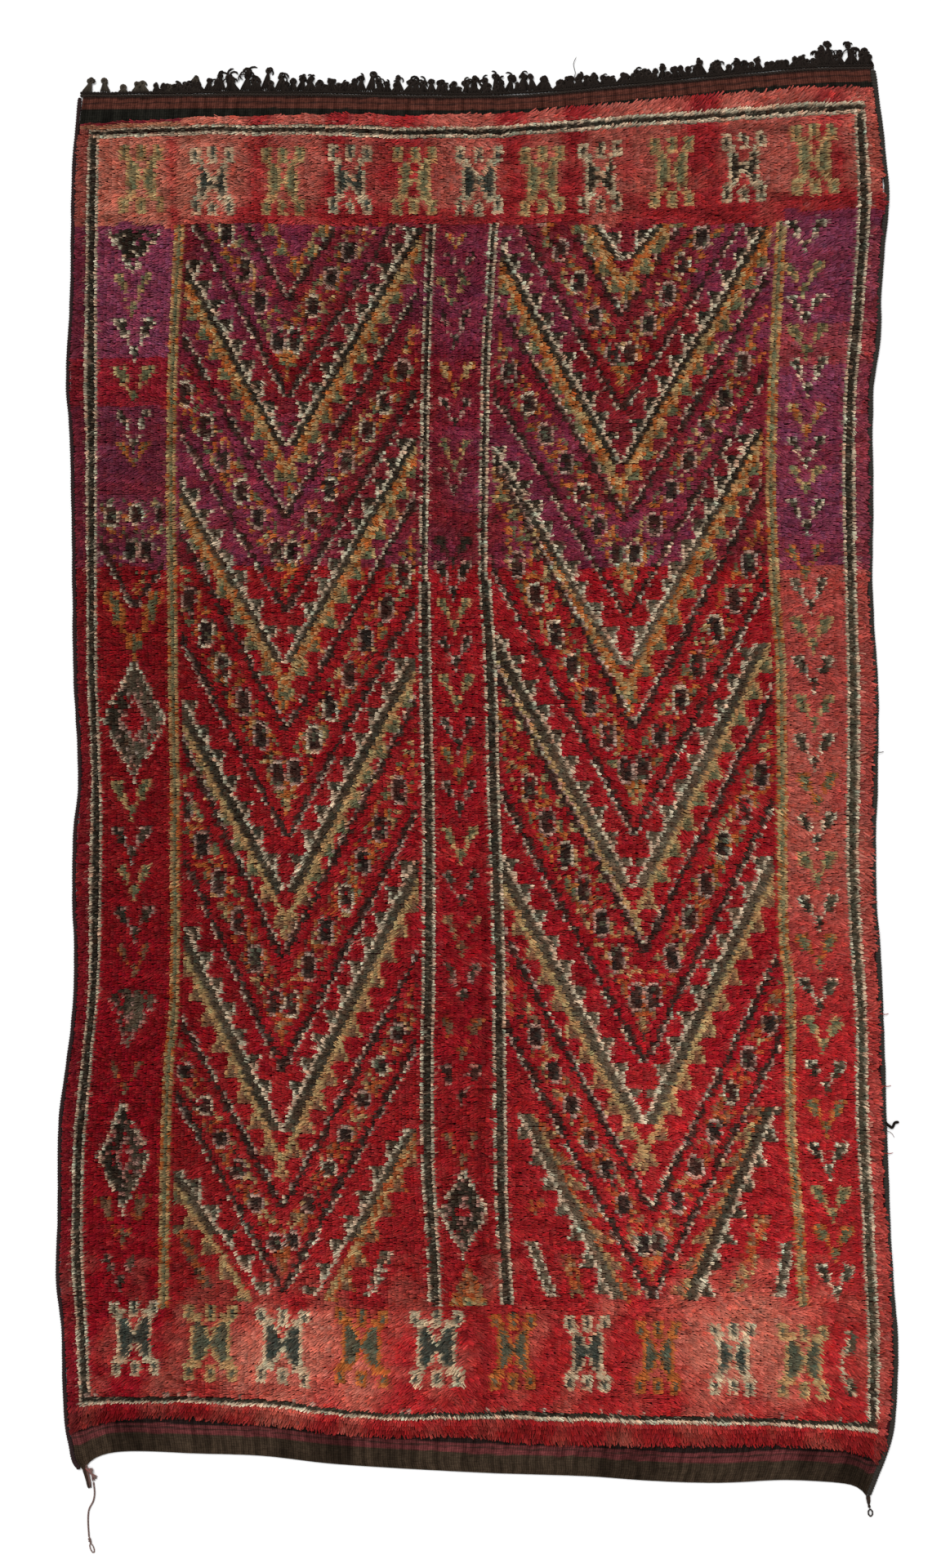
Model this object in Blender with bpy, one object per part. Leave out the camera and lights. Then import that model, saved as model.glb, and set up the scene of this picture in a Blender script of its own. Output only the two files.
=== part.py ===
"""Vintage Middle Atlas pile rug lying flat on a floor, fringed at one end.

Metres, +Z up, +Y towards the fringed end, origin on the floor under the middle of the rug.
The rug is one cloth. The fringe, the two overcast side edges and the loose ends at the
lower corners are solids of their own, a hair apart from it.
"""

import math

import bmesh
import bpy

GAP = 0.0004  # between neighbouring solids
CLOTH_WIDTH = 1.74  # between the selvedges
CLOTH_LENGTH = 2.94  # between the ends of the flat weave
PILE_HEIGHT = 0.016  # top of the pile above the floor
FLAT_HEIGHT = 0.004  # the flat-woven ends
EDGE_HEIGHT = 0.010  # pile at the side edges, where it rounds down
FLAT_BOTTOM = 0.068  # width of the flat-woven end at the bottom
FLAT_TOP = 0.042  # width of the flat-woven end below the fringe
PILE_RAMP = 0.020  # distance over which the pile rises to full height
SIDE_RAMP = 0.030
UNEVEN = 0.0014  # gentle waves in the pile's height

SELVEDGE_WIDTH = 0.008
SELVEDGE_HEIGHT = 0.007

HEADING_WIDTH = 0.014  # twined cord that the fringe hangs from
HEADING_HEIGHT = 0.006
TOOTH_COUNT = 52
TOOTH_HEIGHT = 0.008
TOOTH_ROOT_SHARE = 0.42  # of the tooth pitch
TOOTH_BELLY_SHARE = 0.62
TOOTH_TIP_SHARE = 0.30

CORD_DIAMETER = 0.0035
CORD_POINTS = 20

LEFT_CORNER_DROP = 0.042  # how far the corner is drawn down
LEFT_DROP_WIDTH = 0.030
RIGHT_CORNER_DROP = 0.028
RIGHT_DROP_WIDTH = 0.018
DROP_REACH = 0.25  # how far up the rug the drawn corner is felt

BOTTOM_LEFT_Y = -1.479
BOTTOM_RIGHT_Y = -1.536

# Outer line of the left side: y along the rug, x of the edge.
LEFT_SIDE = (
    (-1.480, -0.853),
    (-1.461, -0.867),
    (-1.428, -0.874),
    (-1.375, -0.884),
    (-1.270, -0.888),
    (-1.165, -0.892),
    (-1.060, -0.902),
    (-0.955, -0.899),
    (-0.745, -0.897),
    (-0.640, -0.885),
    (-0.535, -0.871),
    (-0.430, -0.864),
    (-0.220, -0.867),
    (-0.115, -0.864),
    (-0.010, -0.855),
    (0.095, -0.857),
    (0.200, -0.864),
    (0.410, -0.867),
    (0.725, -0.872),
    (0.830, -0.881),
    (0.935, -0.878),
    (1.040, -0.872),
    (1.250, -0.869),
    (1.355, -0.865),
    (1.480, -0.851),
)

# Outer line of the right side: y along the rug, x of the edge.
RIGHT_SIDE = (
    (-1.537, 0.841),
    (-1.507, 0.852),
    (-1.458, 0.872),
    (-1.410, 0.888),
    (-1.375, 0.893),
    (-1.270, 0.900),
    (-1.165, 0.897),
    (-1.008, 0.886),
    (-0.850, 0.879),
    (-0.588, 0.871),
    (-0.430, 0.865),
    (-0.220, 0.853),
    (0.095, 0.858),
    (0.200, 0.857),
    (0.410, 0.845),
    (0.620, 0.847),
    (0.830, 0.846),
    (0.935, 0.861),
    (1.040, 0.864),
    (1.145, 0.872),
    (1.250, 0.881),
    (1.355, 0.871),
    (1.460, 0.860),
    (1.530, 0.850),
)

# Bottom edge without the drawn corners: x along the edge, y of the edge.
BOTTOM_EDGE = (
    (-0.900, -1.437),
    (-0.743, -1.438),
    (-0.603, -1.444),
    (-0.463, -1.449),
    (-0.323, -1.465),
    (-0.183, -1.475),
    (0.027, -1.486),
    (0.237, -1.493),
    (0.377, -1.503),
    (0.517, -1.507),
    (0.657, -1.501),
    (0.797, -1.507),
    (0.900, -1.509),
)

# Top edge, where the fringe's heading begins: x along the edge, y of the edge.
TOP_EDGE = (
    (-0.900, 1.460),
    (-0.428, 1.463),
    (0.062, 1.460),
    (0.307, 1.480),
    (0.727, 1.518),
    (0.900, 1.520),
)

# How far the fringe reaches beyond the top edge: x along the edge, reach.
FRINGE_REACH = (
    (-0.860, 0.030),
    (-0.740, 0.020),
    (-0.603, 0.035),
    (-0.463, 0.052),
    (-0.393, 0.040),
    (-0.323, 0.026),
    (-0.183, 0.048),
    (-0.113, 0.030),
    (0.097, 0.040),
    (0.167, 0.033),
    (0.307, 0.026),
    (0.517, 0.036),
    (0.657, 0.022),
    (0.740, 0.034),
    (0.800, 0.046),
    (0.860, 0.052),
)

# Route of the free cord from the left corner to its knot: x, y.
CORD_ROUTE = (
    (-0.8222, -1.5066),
    (-0.8200, -1.5290),
    (-0.8230, -1.5470),
    (-0.8320, -1.5650),
    (-0.8340, -1.5890),
    (-0.8320, -1.6232),
)


def clear_scene():
    for old in list(bpy.data.objects):
        bpy.data.objects.remove(old, do_unlink=True)


def hermite(a, b, slope_a, slope_b, span, t):
    """Cubic from a to b with the given end slopes."""
    t2, t3 = t * t, t * t * t
    return (
        a * (2 * t3 - 3 * t2 + 1)
        + slope_a * span * (t3 - 2 * t2 + t)
        + b * (3 * t2 - 2 * t3)
        + slope_b * span * (t3 - t2)
    )


def slope_at(table, i):
    lo = table[max(i - 1, 0)]
    hi = table[min(i + 1, len(table) - 1)]
    return (hi[1] - lo[1]) / (hi[0] - lo[0])


def smooth_at(table, key):
    """Value of a two-column table at key, read from a smooth curve through its rows."""
    key = min(max(key, table[0][0]), table[-1][0])
    i = 0
    while i < len(table) - 2 and key > table[i + 1][0]:
        i += 1
    (k0, a), (k1, b) = table[i], table[i + 1]
    span = k1 - k0
    return hermite(a, b, slope_at(table, i), slope_at(table, i + 1), span, (key - k0) / span)


def ramp(x):
    x = min(max(x, 0.0), 1.0)
    return x * x * (3 - 2 * x)


def colour_of(name, rgb, roughness):
    mat = bpy.data.materials.new(name)
    mat.use_nodes = True
    shader = mat.node_tree.nodes["Principled BSDF"]
    shader.inputs["Base Color"].default_value = (*rgb, 1.0)
    shader.inputs["Roughness"].default_value = roughness
    mat.diffuse_color = (*rgb, 1.0)
    return mat


def add_solid(name, points, faces, rgb):
    """One closed mesh object, its faces turned to face out."""
    mesh = bpy.data.meshes.new(name)
    mesh.from_pydata(points, [], faces)
    work = bmesh.new()
    work.from_mesh(mesh)
    bmesh.ops.recalc_face_normals(work, faces=work.faces)
    work.to_mesh(mesh)
    work.free()
    mesh.materials.append(colour_of(name + "_material", rgb, 0.9))
    obj = bpy.data.objects.new(name, mesh)
    bpy.context.scene.collection.objects.link(obj)
    return obj


def body_left(y):
    """The cloth's left side, inside its selvedge."""
    return smooth_at(LEFT_SIDE, y) + SELVEDGE_WIDTH + GAP


def body_right(y):
    return smooth_at(RIGHT_SIDE, y) - SELVEDGE_WIDTH - GAP


def corner_drop(x, height):
    """How far the drawn corners pull a point down, at this distance above the bottom edge."""
    left = LEFT_CORNER_DROP * math.exp(-(x - body_left(BOTTOM_LEFT_Y)) / LEFT_DROP_WIDTH)
    right = RIGHT_CORNER_DROP * math.exp((x - body_right(BOTTOM_RIGHT_Y)) / RIGHT_DROP_WIDTH)
    fade = max(0.0, 1.0 - height / DROP_REACH)
    return (min(left, LEFT_CORNER_DROP) + min(right, RIGHT_CORNER_DROP)) * fade * fade


def lattice_point(u, v):
    """Point of the cloth at u across and v along, each from 0 to 1."""
    x = -0.85 + 1.70 * u
    y = -1.45 + 2.92 * v
    for _ in range(12):
        bottom = smooth_at(BOTTOM_EDGE, x)
        top = smooth_at(TOP_EDGE, x)
        y = bottom + v * (top - bottom) - corner_drop(x, v * (top - bottom))
        x = body_left(y) + u * (body_right(y) - body_left(y))
    return x, y


def stations(total, near_start, near_end, spacing):
    """Shares from 0 to 1, close together at both ends and evenly spaced between."""
    inner = total - near_start[-1] - near_end[-1]
    count = max(1, round(inner / spacing))
    middle = [near_start[-1] + inner * i / count for i in range(1, count)]
    places = list(near_start) + middle + [total - d for d in reversed(near_end)]
    return [p / total for p in places]


def pile_top(u, v):
    """Height of the cloth's upper face."""
    from_bottom = v * CLOTH_LENGTH - FLAT_BOTTOM
    from_top = (1 - v) * CLOTH_LENGTH - FLAT_TOP
    rise = min(ramp(from_bottom / PILE_RAMP), ramp(from_top / PILE_RAMP))
    side = ramp(min(u, 1 - u) * CLOTH_WIDTH / SIDE_RAMP)
    full = EDGE_HEIGHT + (PILE_HEIGHT - EDGE_HEIGHT) * side
    wave = math.sin(7.1 * u + 3.0 * v) * math.cos(11.3 * v - 2.2 * u)
    wave += 0.6 * math.sin(17.0 * u) * math.sin(23.0 * v)
    return FLAT_HEIGHT + (full - FLAT_HEIGHT + UNEVEN * wave * side) * rise


def closed_sheet(upper, lower):
    """Points and faces of the solid between two grids of points."""
    rows, cols = len(upper), len(upper[0])
    points = [p for row in upper for p in row] + [p for row in lower for p in row]
    under = rows * cols

    def at(r, c):
        return r * cols + c

    faces = []
    for r in range(rows - 1):
        for c in range(cols - 1):
            quad = (at(r, c), at(r, c + 1), at(r + 1, c + 1), at(r + 1, c))
            faces.append(quad)
            faces.append(tuple(under + q for q in reversed(quad)))
    rim = [at(0, c) for c in range(cols)]
    rim += [at(r, cols - 1) for r in range(1, rows)]
    rim += [at(rows - 1, c) for c in range(cols - 2, -1, -1)]
    rim += [at(r, 0) for r in range(rows - 2, 0, -1)]
    for a, b in zip(rim, rim[1:] + rim[:1]):
        faces.append((a, under + a, under + b, b))
    return points, faces


def across_stations():
    near_side = (0, 0.016, 0.034, 0.065)
    return stations(CLOTH_WIDTH, near_side, near_side, 0.077)


def along_stations():
    near_bottom = (0, 0.034, 0.066, 0.074, 0.082, 0.090, 0.130)
    near_top = (0, 0.022, 0.041, 0.048, 0.056, 0.064, 0.105)
    return stations(CLOTH_LENGTH, near_bottom, near_top, 0.083)


def make_cloth():
    across = across_stations()
    upper, lower = [], []
    for v in along_stations():
        line = [lattice_point(u, v) for u in across]
        lower.append([(x, y, 0.0) for x, y in line])
        upper.append([(x, y, pile_top(u, v)) for u, (x, y) in zip(across, line)])
    points, faces = closed_sheet(upper, lower)
    add_solid("rug_body", points, faces, (0.20, 0.035, 0.030))


def swept_strip(line, profile):
    """Solid of a flat-bottomed profile (offset, height) carried along a line of (x, y)."""
    points, faces = [], []
    size = len(profile)
    for x, y in line:
        points += [(x + across, y, up) for across, up in profile]
    for i in range(len(line) - 1):
        for k in range(size):
            a, b = i * size + k, i * size + (k + 1) % size
            faces.append((a, b, b + size, a + size))
    faces.append(tuple(range(size)))
    faces.append(tuple(range(len(points) - size, len(points))))
    return points, faces


def make_selvedge(name, u, outward):
    """Overcast edge: a flat-bottomed half round along one side of the cloth."""
    w, h = SELVEDGE_WIDTH * outward, SELVEDGE_HEIGHT
    profile = ((0.0, 0.0), (0.0, 0.6 * h), (0.28 * w, 0.95 * h), (0.60 * w, h))
    profile += ((0.88 * w, 0.68 * h), (w, 0.3 * h), (0.94 * w, 0.0))
    line = [lattice_point(u, v) for v in along_stations()]
    points, faces = swept_strip([(x + GAP * outward, y) for x, y in line], profile)
    add_solid(name, points, faces, (0.030, 0.017, 0.014))


def tooth_spans(start, end):
    """Start and end of every tooth's root along the heading, unevenly spaced."""
    pitch = (end - start) / TOOTH_COUNT
    spans = []
    for i in range(TOOTH_COUNT):
        shift = 0.12 * math.sin(2.4 * i) + 0.08 * math.sin(5.3 * i + 1.0)
        middle = start + pitch * (i + 0.5 + shift)
        spans.append((middle, 0.5 * pitch * TOOTH_ROOT_SHARE))
    return pitch, spans


def straight_at(line, key):
    """Height of a line of straight pieces at key, level beyond its ends."""
    key = min(max(key, line[0][0]), line[-1][0])
    i = 0
    while i < len(line) - 2 and key > line[i + 1][0]:
        i += 1
    (k0, a), (k1, b) = line[i], line[i + 1]
    return a + (b - a) * (key - k0) / (k1 - k0)


def fringe_point(line, x, out, z):
    """Point at this distance beyond the cloth's top edge."""
    return (x, straight_at(line, x) + 1.5 * GAP + out, z)


def make_fringe():
    """One comb: a heading along the top edge with a tooth for each knotted tassel."""
    top = [lattice_point(u, 1.0) for u in across_stations()]
    start, end = top[0][0] - SELVEDGE_WIDTH, top[-1][0] + SELVEDGE_WIDTH
    pitch, spans = tooth_spans(start, end)
    places = [start]
    for middle, half in spans:
        places += [middle - half, middle + half]
    places.append(end)
    points, faces = [], []
    for x in places:
        points.append(fringe_point(top, x, 0.0, 0.0))
        points.append(fringe_point(top, x, 0.0, HEADING_HEIGHT))
        points.append(fringe_point(top, x, HEADING_WIDTH, HEADING_HEIGHT))
        points.append(fringe_point(top, x, HEADING_WIDTH, 0.0))
    last = 4 * (len(places) - 1)
    for i in range(len(places) - 1):
        a, b = 4 * i, 4 * i + 4
        faces += [(a, b, b + 1, a + 1), (a + 1, b + 1, b + 2, a + 2), (a + 3, b + 3, b, a)]
        if i % 2 == 0:
            faces.append((a + 2, b + 2, b + 3, a + 3))
    faces += [(0, 1, 2, 3), (last, last + 3, last + 2, last + 1)]
    for i, (middle, _) in enumerate(spans):
        add_tooth(points, faces, 4 * (2 * i + 1), top, middle, pitch, i)
    add_solid("top_fringe", points, faces, (0.018, 0.012, 0.010))


def add_tooth(points, faces, root, top, middle, pitch, i):
    """Adds a tooth to the comb, from the heading's two corners at root."""
    reach = smooth_at(FRINGE_REACH, middle) * (0.90 + 0.10 * math.sin(3.7 * i))
    length = max(reach - HEADING_WIDTH, 0.004)
    lean = 0.18 * length * math.sin(1.9 * i + 0.4)
    first = len(points)
    rings = (
        (0.45, TOOTH_BELLY_SHARE, TOOTH_HEIGHT, 0.5),
        (1.0, TOOTH_TIP_SHARE, 0.6 * TOOTH_HEIGHT, 1.0),
    )
    for share, width_share, height, lean_share in rings:
        half = 0.5 * pitch * width_share
        x, out = middle + lean * lean_share, HEADING_WIDTH + share * length
        for side, z in ((-half, height), (half, height), (half, 0.0), (-half, 0.0)):
            points.append(fringe_point(top, x + side, out, z))
    base = (root + 2, root + 6, root + 7, root + 3)
    belly = tuple(first + k for k in range(4))
    tip = tuple(first + 4 + k for k in range(4))
    for near, far in ((base, belly), (belly, tip)):
        for k in range(4):
            n = (k + 1) % 4
            faces.append((near[k], near[n], far[n], far[k]))
    faces.append(tip)


def extruded_outline(outline, height):
    """Solid over a flat outline of (x, y), a little smaller at the top."""
    count = len(outline)
    cx = sum(x for x, _ in outline) / count
    cy = sum(y for _, y in outline) / count
    points = [(x, y, 0.0) for x, y in outline]
    points += [(cx + 0.9 * (x - cx), cy + 0.9 * (y - cy), height) for x, y in outline]
    faces = [tuple(range(count)), tuple(range(count, 2 * count))]
    for i in range(count):
        n = (i + 1) % count
        faces.append((i, n, count + n, count + i))
    return points, faces


def make_left_tail():
    """Pointed dark end of the left edge with the bundle of pile yarn beside it."""
    (ax, ay), (bx, by) = lattice_point(0.0, 0.0), lattice_point(across_stations()[1], 0.0)
    side = math.hypot(bx - ax, by - ay)
    off_x, off_y = GAP * (by - ay) / side, -GAP * (bx - ax) / side
    outline = (
        (ax + off_x, ay + off_y),
        (bx + off_x, by + off_y),
        (-0.8235, -1.4760),
        (-0.8120, -1.4935),
        (-0.8160, -1.4985),
        (-0.8200, -1.5060),
        (-0.8250, -1.5065),
        (-0.8285, -1.5195),
        (-0.8320, -1.5180),
        (-0.8395, -1.5000),
    )
    points, faces = extruded_outline(outline, 0.008)
    add_solid("left_corner_tail", points, faces, (0.10, 0.05, 0.045))


def ring_with_stem(centre, reach, bar, tilt, stem, height):
    """Flat ring on a stem: centre, its two half widths, bar width, tilt, and the stem's far corners."""
    count = 16
    cx, cy = centre
    outer, inner = [], []
    for i in range(count):
        turn = math.tau * (i + 0.5) / count + math.pi / 2
        for ring, thin in ((outer, 0.0), (inner, bar)):
            a, b = (reach[0] - thin) * math.cos(turn), (reach[1] - thin) * math.sin(turn)
            x = cx + a * math.cos(tilt) - b * math.sin(tilt)
            y = cy + a * math.sin(tilt) + b * math.cos(tilt)
            ring.append((x, y))
    level = outer + inner + list(stem)
    size = len(level)
    points = [(x, y, 0.0) for x, y in level] + [(x, y, height) for x, y in level]
    faces = []
    for i in range(count):
        n = (i + 1) % count
        quad = (i, n, count + n, count + i)
        faces += [quad, tuple(size + q for q in quad)]
        faces.append((count + i, count + n, size + count + n, size + count + i))
        if i != count - 1:
            faces.append((i, n, size + n, size + i))
    far_left, far_right = 2 * count, 2 * count + 1
    edge_left, edge_right = 0, count - 1
    quad = (edge_left, far_left, far_right, edge_right)
    faces += [quad, tuple(size + q for q in quad)]
    for a, b in ((edge_left, far_left), (far_left, far_right), (far_right, edge_right)):
        faces.append((a, b, size + b, size + a))
    return points, faces


def make_right_tail():
    """Short twisted end of the right edge, finishing in a tiny loop."""
    stem = ((0.8318, -1.5363), (0.8405, -1.5363))
    points, faces = ring_with_stem((0.8415, -1.5715), (0.0062, 0.0085), 0.0030, 0.1, stem, 0.0055)
    add_solid("right_corner_tail", points, faces, (0.030, 0.017, 0.014))


def make_cord_knot():
    """Knot at the end of the free cord, with the small loop below it."""
    stem = ((-0.8345, -1.6235), (-0.8275, -1.6235))
    points, faces = ring_with_stem((-0.8255, -1.6475), (0.0052, 0.0115), 0.0030, 0.35, stem, 0.0055)
    add_solid("cord_knot", points, faces, (0.10, 0.05, 0.045))


def route_points(route, count):
    """Evenly numbered points on a smooth curve through the route."""
    xs = tuple((i, p[0]) for i, p in enumerate(route))
    ys = tuple((i, p[1]) for i, p in enumerate(route))
    last = len(route) - 1
    steps = [last * i / (count - 1) for i in range(count)]
    return [(smooth_at(xs, s), smooth_at(ys, s)) for s in steps]


def make_cord():
    """Thin free cord lying on the floor from the left corner."""
    curve = bpy.data.curves.new("corner_cord", "CURVE")
    curve.dimensions = "3D"
    curve.bevel_depth = CORD_DIAMETER / 2
    curve.bevel_resolution = 2
    curve.use_fill_caps = True
    places = route_points(CORD_ROUTE, CORD_POINTS)
    spline = curve.splines.new("POLY")
    spline.points.add(len(places) - 1)
    for point, (x, y) in zip(spline.points, places):
        point.co = (x, y, CORD_DIAMETER / 2 + 0.0001, 1.0)
    curve.materials.append(colour_of("corner_cord_material", (0.12, 0.07, 0.06), 0.9))
    obj = bpy.data.objects.new("corner_cord", curve)
    bpy.context.scene.collection.objects.link(obj)


def main():
    clear_scene()
    make_cloth()
    make_fringe()
    make_selvedge("left_selvedge", 0.0, -1.0)
    make_selvedge("right_selvedge", 1.0, 1.0)
    make_left_tail()
    make_right_tail()
    make_cord()
    make_cord_knot()


main()
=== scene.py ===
"""Looks of the vintage Middle Atlas pile rug.

The pile is knotted row by row from a chart that is worked out here: border line, rows of
towers, nested chevrons and columns of small figures, over a ground whose red shifts with
the dye lots. Every knot becomes three cut ends of yarn. Metres, in the frame of the part.
"""

import bpy
import numpy as np
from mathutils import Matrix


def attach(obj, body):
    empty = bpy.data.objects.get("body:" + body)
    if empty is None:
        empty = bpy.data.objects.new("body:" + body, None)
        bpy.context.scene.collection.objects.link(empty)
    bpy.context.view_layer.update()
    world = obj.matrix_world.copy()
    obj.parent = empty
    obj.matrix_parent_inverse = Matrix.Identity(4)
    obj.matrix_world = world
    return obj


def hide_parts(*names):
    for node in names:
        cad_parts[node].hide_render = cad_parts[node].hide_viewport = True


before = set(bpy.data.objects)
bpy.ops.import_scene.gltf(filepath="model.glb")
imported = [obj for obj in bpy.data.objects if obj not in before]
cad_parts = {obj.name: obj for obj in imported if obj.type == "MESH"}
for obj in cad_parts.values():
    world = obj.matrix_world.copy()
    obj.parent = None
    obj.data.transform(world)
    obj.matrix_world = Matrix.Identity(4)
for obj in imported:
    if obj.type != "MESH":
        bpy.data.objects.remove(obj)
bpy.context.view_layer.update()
rng = np.random.default_rng(20)

SELVEDGE_WIDTH = 0.008
GAP = 0.0004
OCTAVES = 3
CLOTH_WIDTH = 1.74
CLOTH_LENGTH = 2.94
FLAT_TOP_Z = 0.0036  # upper face of the flat weave
ROOT_Z = 0.003  # where the pile leaves the ground weave
COLUMN_PITCH = 0.0072
UPPER_ROW_PITCH = 0.0087
LOWER_ROW_PITCH = 0.0091

LEFT_CORNER_DROP = 0.042
LEFT_DROP_WIDTH = 0.03
RIGHT_CORNER_DROP = 0.028
RIGHT_DROP_WIDTH = 0.018
DROP_REACH = 0.25
BOTTOM_LEFT_Y = -1.479
BOTTOM_RIGHT_Y = -1.536

# Outer line of the left side: y along the rug, x of the edge.
LEFT_SIDE = (
    (-1.48, -0.853), (-1.461, -0.867), (-1.428, -0.874), (-1.375, -0.884), (-1.27, -0.888),
    (-1.165, -0.892), (-1.06, -0.902), (-0.955, -0.899), (-0.745, -0.897), (-0.64, -0.885),
    (-0.535, -0.871), (-0.43, -0.864), (-0.22, -0.867), (-0.115, -0.864), (-0.01, -0.855),
    (0.095, -0.857), (0.2, -0.864), (0.41, -0.867), (0.725, -0.872), (0.83, -0.881),
    (0.935, -0.878), (1.04, -0.872), (1.25, -0.869), (1.355, -0.865), (1.48, -0.851),
)

# Outer line of the right side: y along the rug, x of the edge.
RIGHT_SIDE = (
    (-1.537, 0.841), (-1.507, 0.852), (-1.458, 0.872), (-1.41, 0.888), (-1.375, 0.893),
    (-1.27, 0.9), (-1.165, 0.897), (-1.008, 0.886), (-0.85, 0.879), (-0.588, 0.871),
    (-0.43, 0.865), (-0.22, 0.853), (0.095, 0.858), (0.2, 0.857), (0.41, 0.845), (0.62, 0.847),
    (0.83, 0.846), (0.935, 0.861), (1.04, 0.864), (1.145, 0.872), (1.25, 0.881), (1.355, 0.871),
    (1.46, 0.86), (1.53, 0.85),
)

# Bottom edge without the drawn corners: x along the edge, y of the edge.
BOTTOM_EDGE = (
    (-0.9, -1.437), (-0.743, -1.438), (-0.603, -1.444), (-0.463, -1.449), (-0.323, -1.465),
    (-0.183, -1.475), (0.027, -1.486), (0.237, -1.493), (0.377, -1.503), (0.517, -1.507),
    (0.657, -1.501), (0.797, -1.507), (0.9, -1.509),
)

# Top edge, where the fringe's heading begins: x along the edge, y of the edge.
TOP_EDGE = (
    (-0.9, 1.46), (-0.428, 1.463), (0.062, 1.46), (0.307, 1.48), (0.727, 1.518), (0.9, 1.52),
)

# Lines that the knot columns follow: y along the rug, x of the line.
LEFT_BORDER = (
    (-1.314, -0.836), (-1.166, -0.843), (-1.043, -0.851), (-0.938, -0.853), (-0.781, -0.849),
    (-0.676, -0.839), (-0.571, -0.83), (-0.448, -0.818), (-0.256, -0.813), (-0.081, -0.811),
    (0.095, -0.816), (0.235, -0.822), (0.83, -0.822), (1.057, -0.823), (1.381, -0.818),
)
LEFT_GREEN = (
    (-1.101, -0.669), (-0.781, -0.666), (-0.606, -0.659), (-0.483, -0.647), (-0.081, -0.645),
    (0.217, -0.65), (0.83, -0.652), (1.171, -0.636),
)
CENTRE_LEFT = (
    (-1.122, -0.092), (-0.991, -0.099), (-0.781, -0.111), (-0.343, -0.109), (-0.081, -0.109),
    (0.217, -0.115), (0.445, -0.116), (0.83, -0.111), (1.18, -0.099),
)
CENTRE_RIGHT = (
    (-1.122, 0.059), (-0.938, 0.048), (-0.781, 0.045), (-0.343, 0.039), (-0.081, 0.031),
    (0.252, 0.022), (0.445, 0.01), (0.725, 0.013), (0.935, 0.018), (1.18, 0.034),
)
RIGHT_GREEN = (
    (-1.148, 0.696), (-0.912, 0.683), (-0.746, 0.669), (-0.431, 0.666), (-0.343, 0.652),
    (0.252, 0.647), (0.357, 0.638), (0.62, 0.626), (0.83, 0.629), (1.057, 0.641), (1.206, 0.648),
)
RIGHT_BORDER = (
    (-1.379, 0.841), (-1.166, 0.841), (-1.043, 0.834), (-0.921, 0.829), (-0.728, 0.818),
    (-0.518, 0.816), (-0.343, 0.804), (-0.168, 0.797), (0.138, 0.799), (0.62, 0.79), (0.795, 0.792),
    (0.882, 0.797), (0.97, 0.806), (1.092, 0.816), (1.232, 0.822), (1.407, 0.815),
)

# Lines that the knot rows follow: x across the rug, y of the line.
BOTTOM_BORDER = (
    (-0.827, -1.325), (-0.617, -1.325), (-0.437, -1.332), (-0.225, -1.357), (0.113, -1.356),
    (0.354, -1.365), (0.594, -1.37), (0.836, -1.381),
)
TOP_BORDER = (
    (-0.816, 1.383), (-0.556, 1.39), (-0.437, 1.39), (-0.015, 1.381), (0.052, 1.386),
    (0.347, 1.407), (0.584, 1.423), (0.815, 1.437),
)
PILE_BOTTOM = (
    (-0.869, -1.404), (-0.797, -1.378), (-0.676, -1.37), (-0.437, -1.386), (-0.255, -1.407),
    (-0.015, -1.411), (0.113, -1.423), (0.354, -1.428), (0.594, -1.428), (0.745, -1.433),
    (0.836, -1.453), (0.858, -1.478),
)
PILE_TOP = (
    (-0.865, 1.407), (-0.428, 1.425), (0.027, 1.425), (0.307, 1.446), (0.727, 1.479), (0.85, 1.481),
)

# Knots between one guiding column and the next, from the left side to the right.
COLUMN_COUNTS = (6, 25, 75, 20, 84, 22, 6)

# Yarns, as linear colours.
YARNS = {
    "cream": (0.49, 0.37, 0.255),
    "dark": (0.018, 0.014, 0.01),
    "brown": (0.042, 0.017, 0.013),
    "khaki": (0.35, 0.21, 0.09),
    "orange": (0.32, 0.088, 0.022),
    "green": (0.105, 0.098, 0.05),
    "sage": (0.13, 0.112, 0.056),
    "ecru": (0.36, 0.21, 0.16),
    "slate": (0.04, 0.041, 0.032),
    "olive": (0.07, 0.066, 0.042),
    "salmon": (0.38, 0.108, 0.072),
    "rose": (0.31, 0.048, 0.043),
    "crimson": (0.245, 0.003, 0.011),
    "brick": (0.29, 0.016, 0.016),
    "red": (0.24, 0.006, 0.011),
    "deep": (0.15, 0.0035, 0.007),
    "maroon": (0.135, 0.011, 0.017),
    "plum": (0.15, 0.025, 0.06),
    "black": (0.024, 0.015, 0.012),
}
NAMES = list(YARNS)
PALETTE = np.array([YARNS[n] for n in NAMES])
CREAM, DARK, BROWN, KHAKI, ORANGE, GREEN, SAGE, ECRU, SLATE, OLIVE = range(10)
BLACK = NAMES.index("black")
GROUND = -1

# Chevrons of the left field: left arm's start, apex, right arm's start, and how far apart
# the lines inside them stand.
LEFT_CHEVRONS = (
    ((-0.634, 1.137), (-0.405, 0.709), (-0.113, 1.181), 1.0),
    ((-0.634, 0.642), (-0.41, 0.249), (-0.127, 0.725), 1.0),
    ((-0.626, 0.173), (-0.407, -0.243), (-0.13, 0.261), 1.1),
    ((-0.62, -0.31), (-0.416, -0.751), (-0.12, -0.177), 1.18),
)
RIGHT_CHEVRONS = (
    ((0.046, 1.157), (0.307, 0.676), (0.626, 1.185), 1.0),
    ((0.036, 0.716), (0.319, 0.24), (0.61, 0.749), 1.0),
    ((0.048, 0.305), (0.335, -0.235), (0.61, 0.287), 1.1),
    ((0.052, -0.158), (0.356, -0.735), (0.636, -0.166), 1.18),
)

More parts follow.
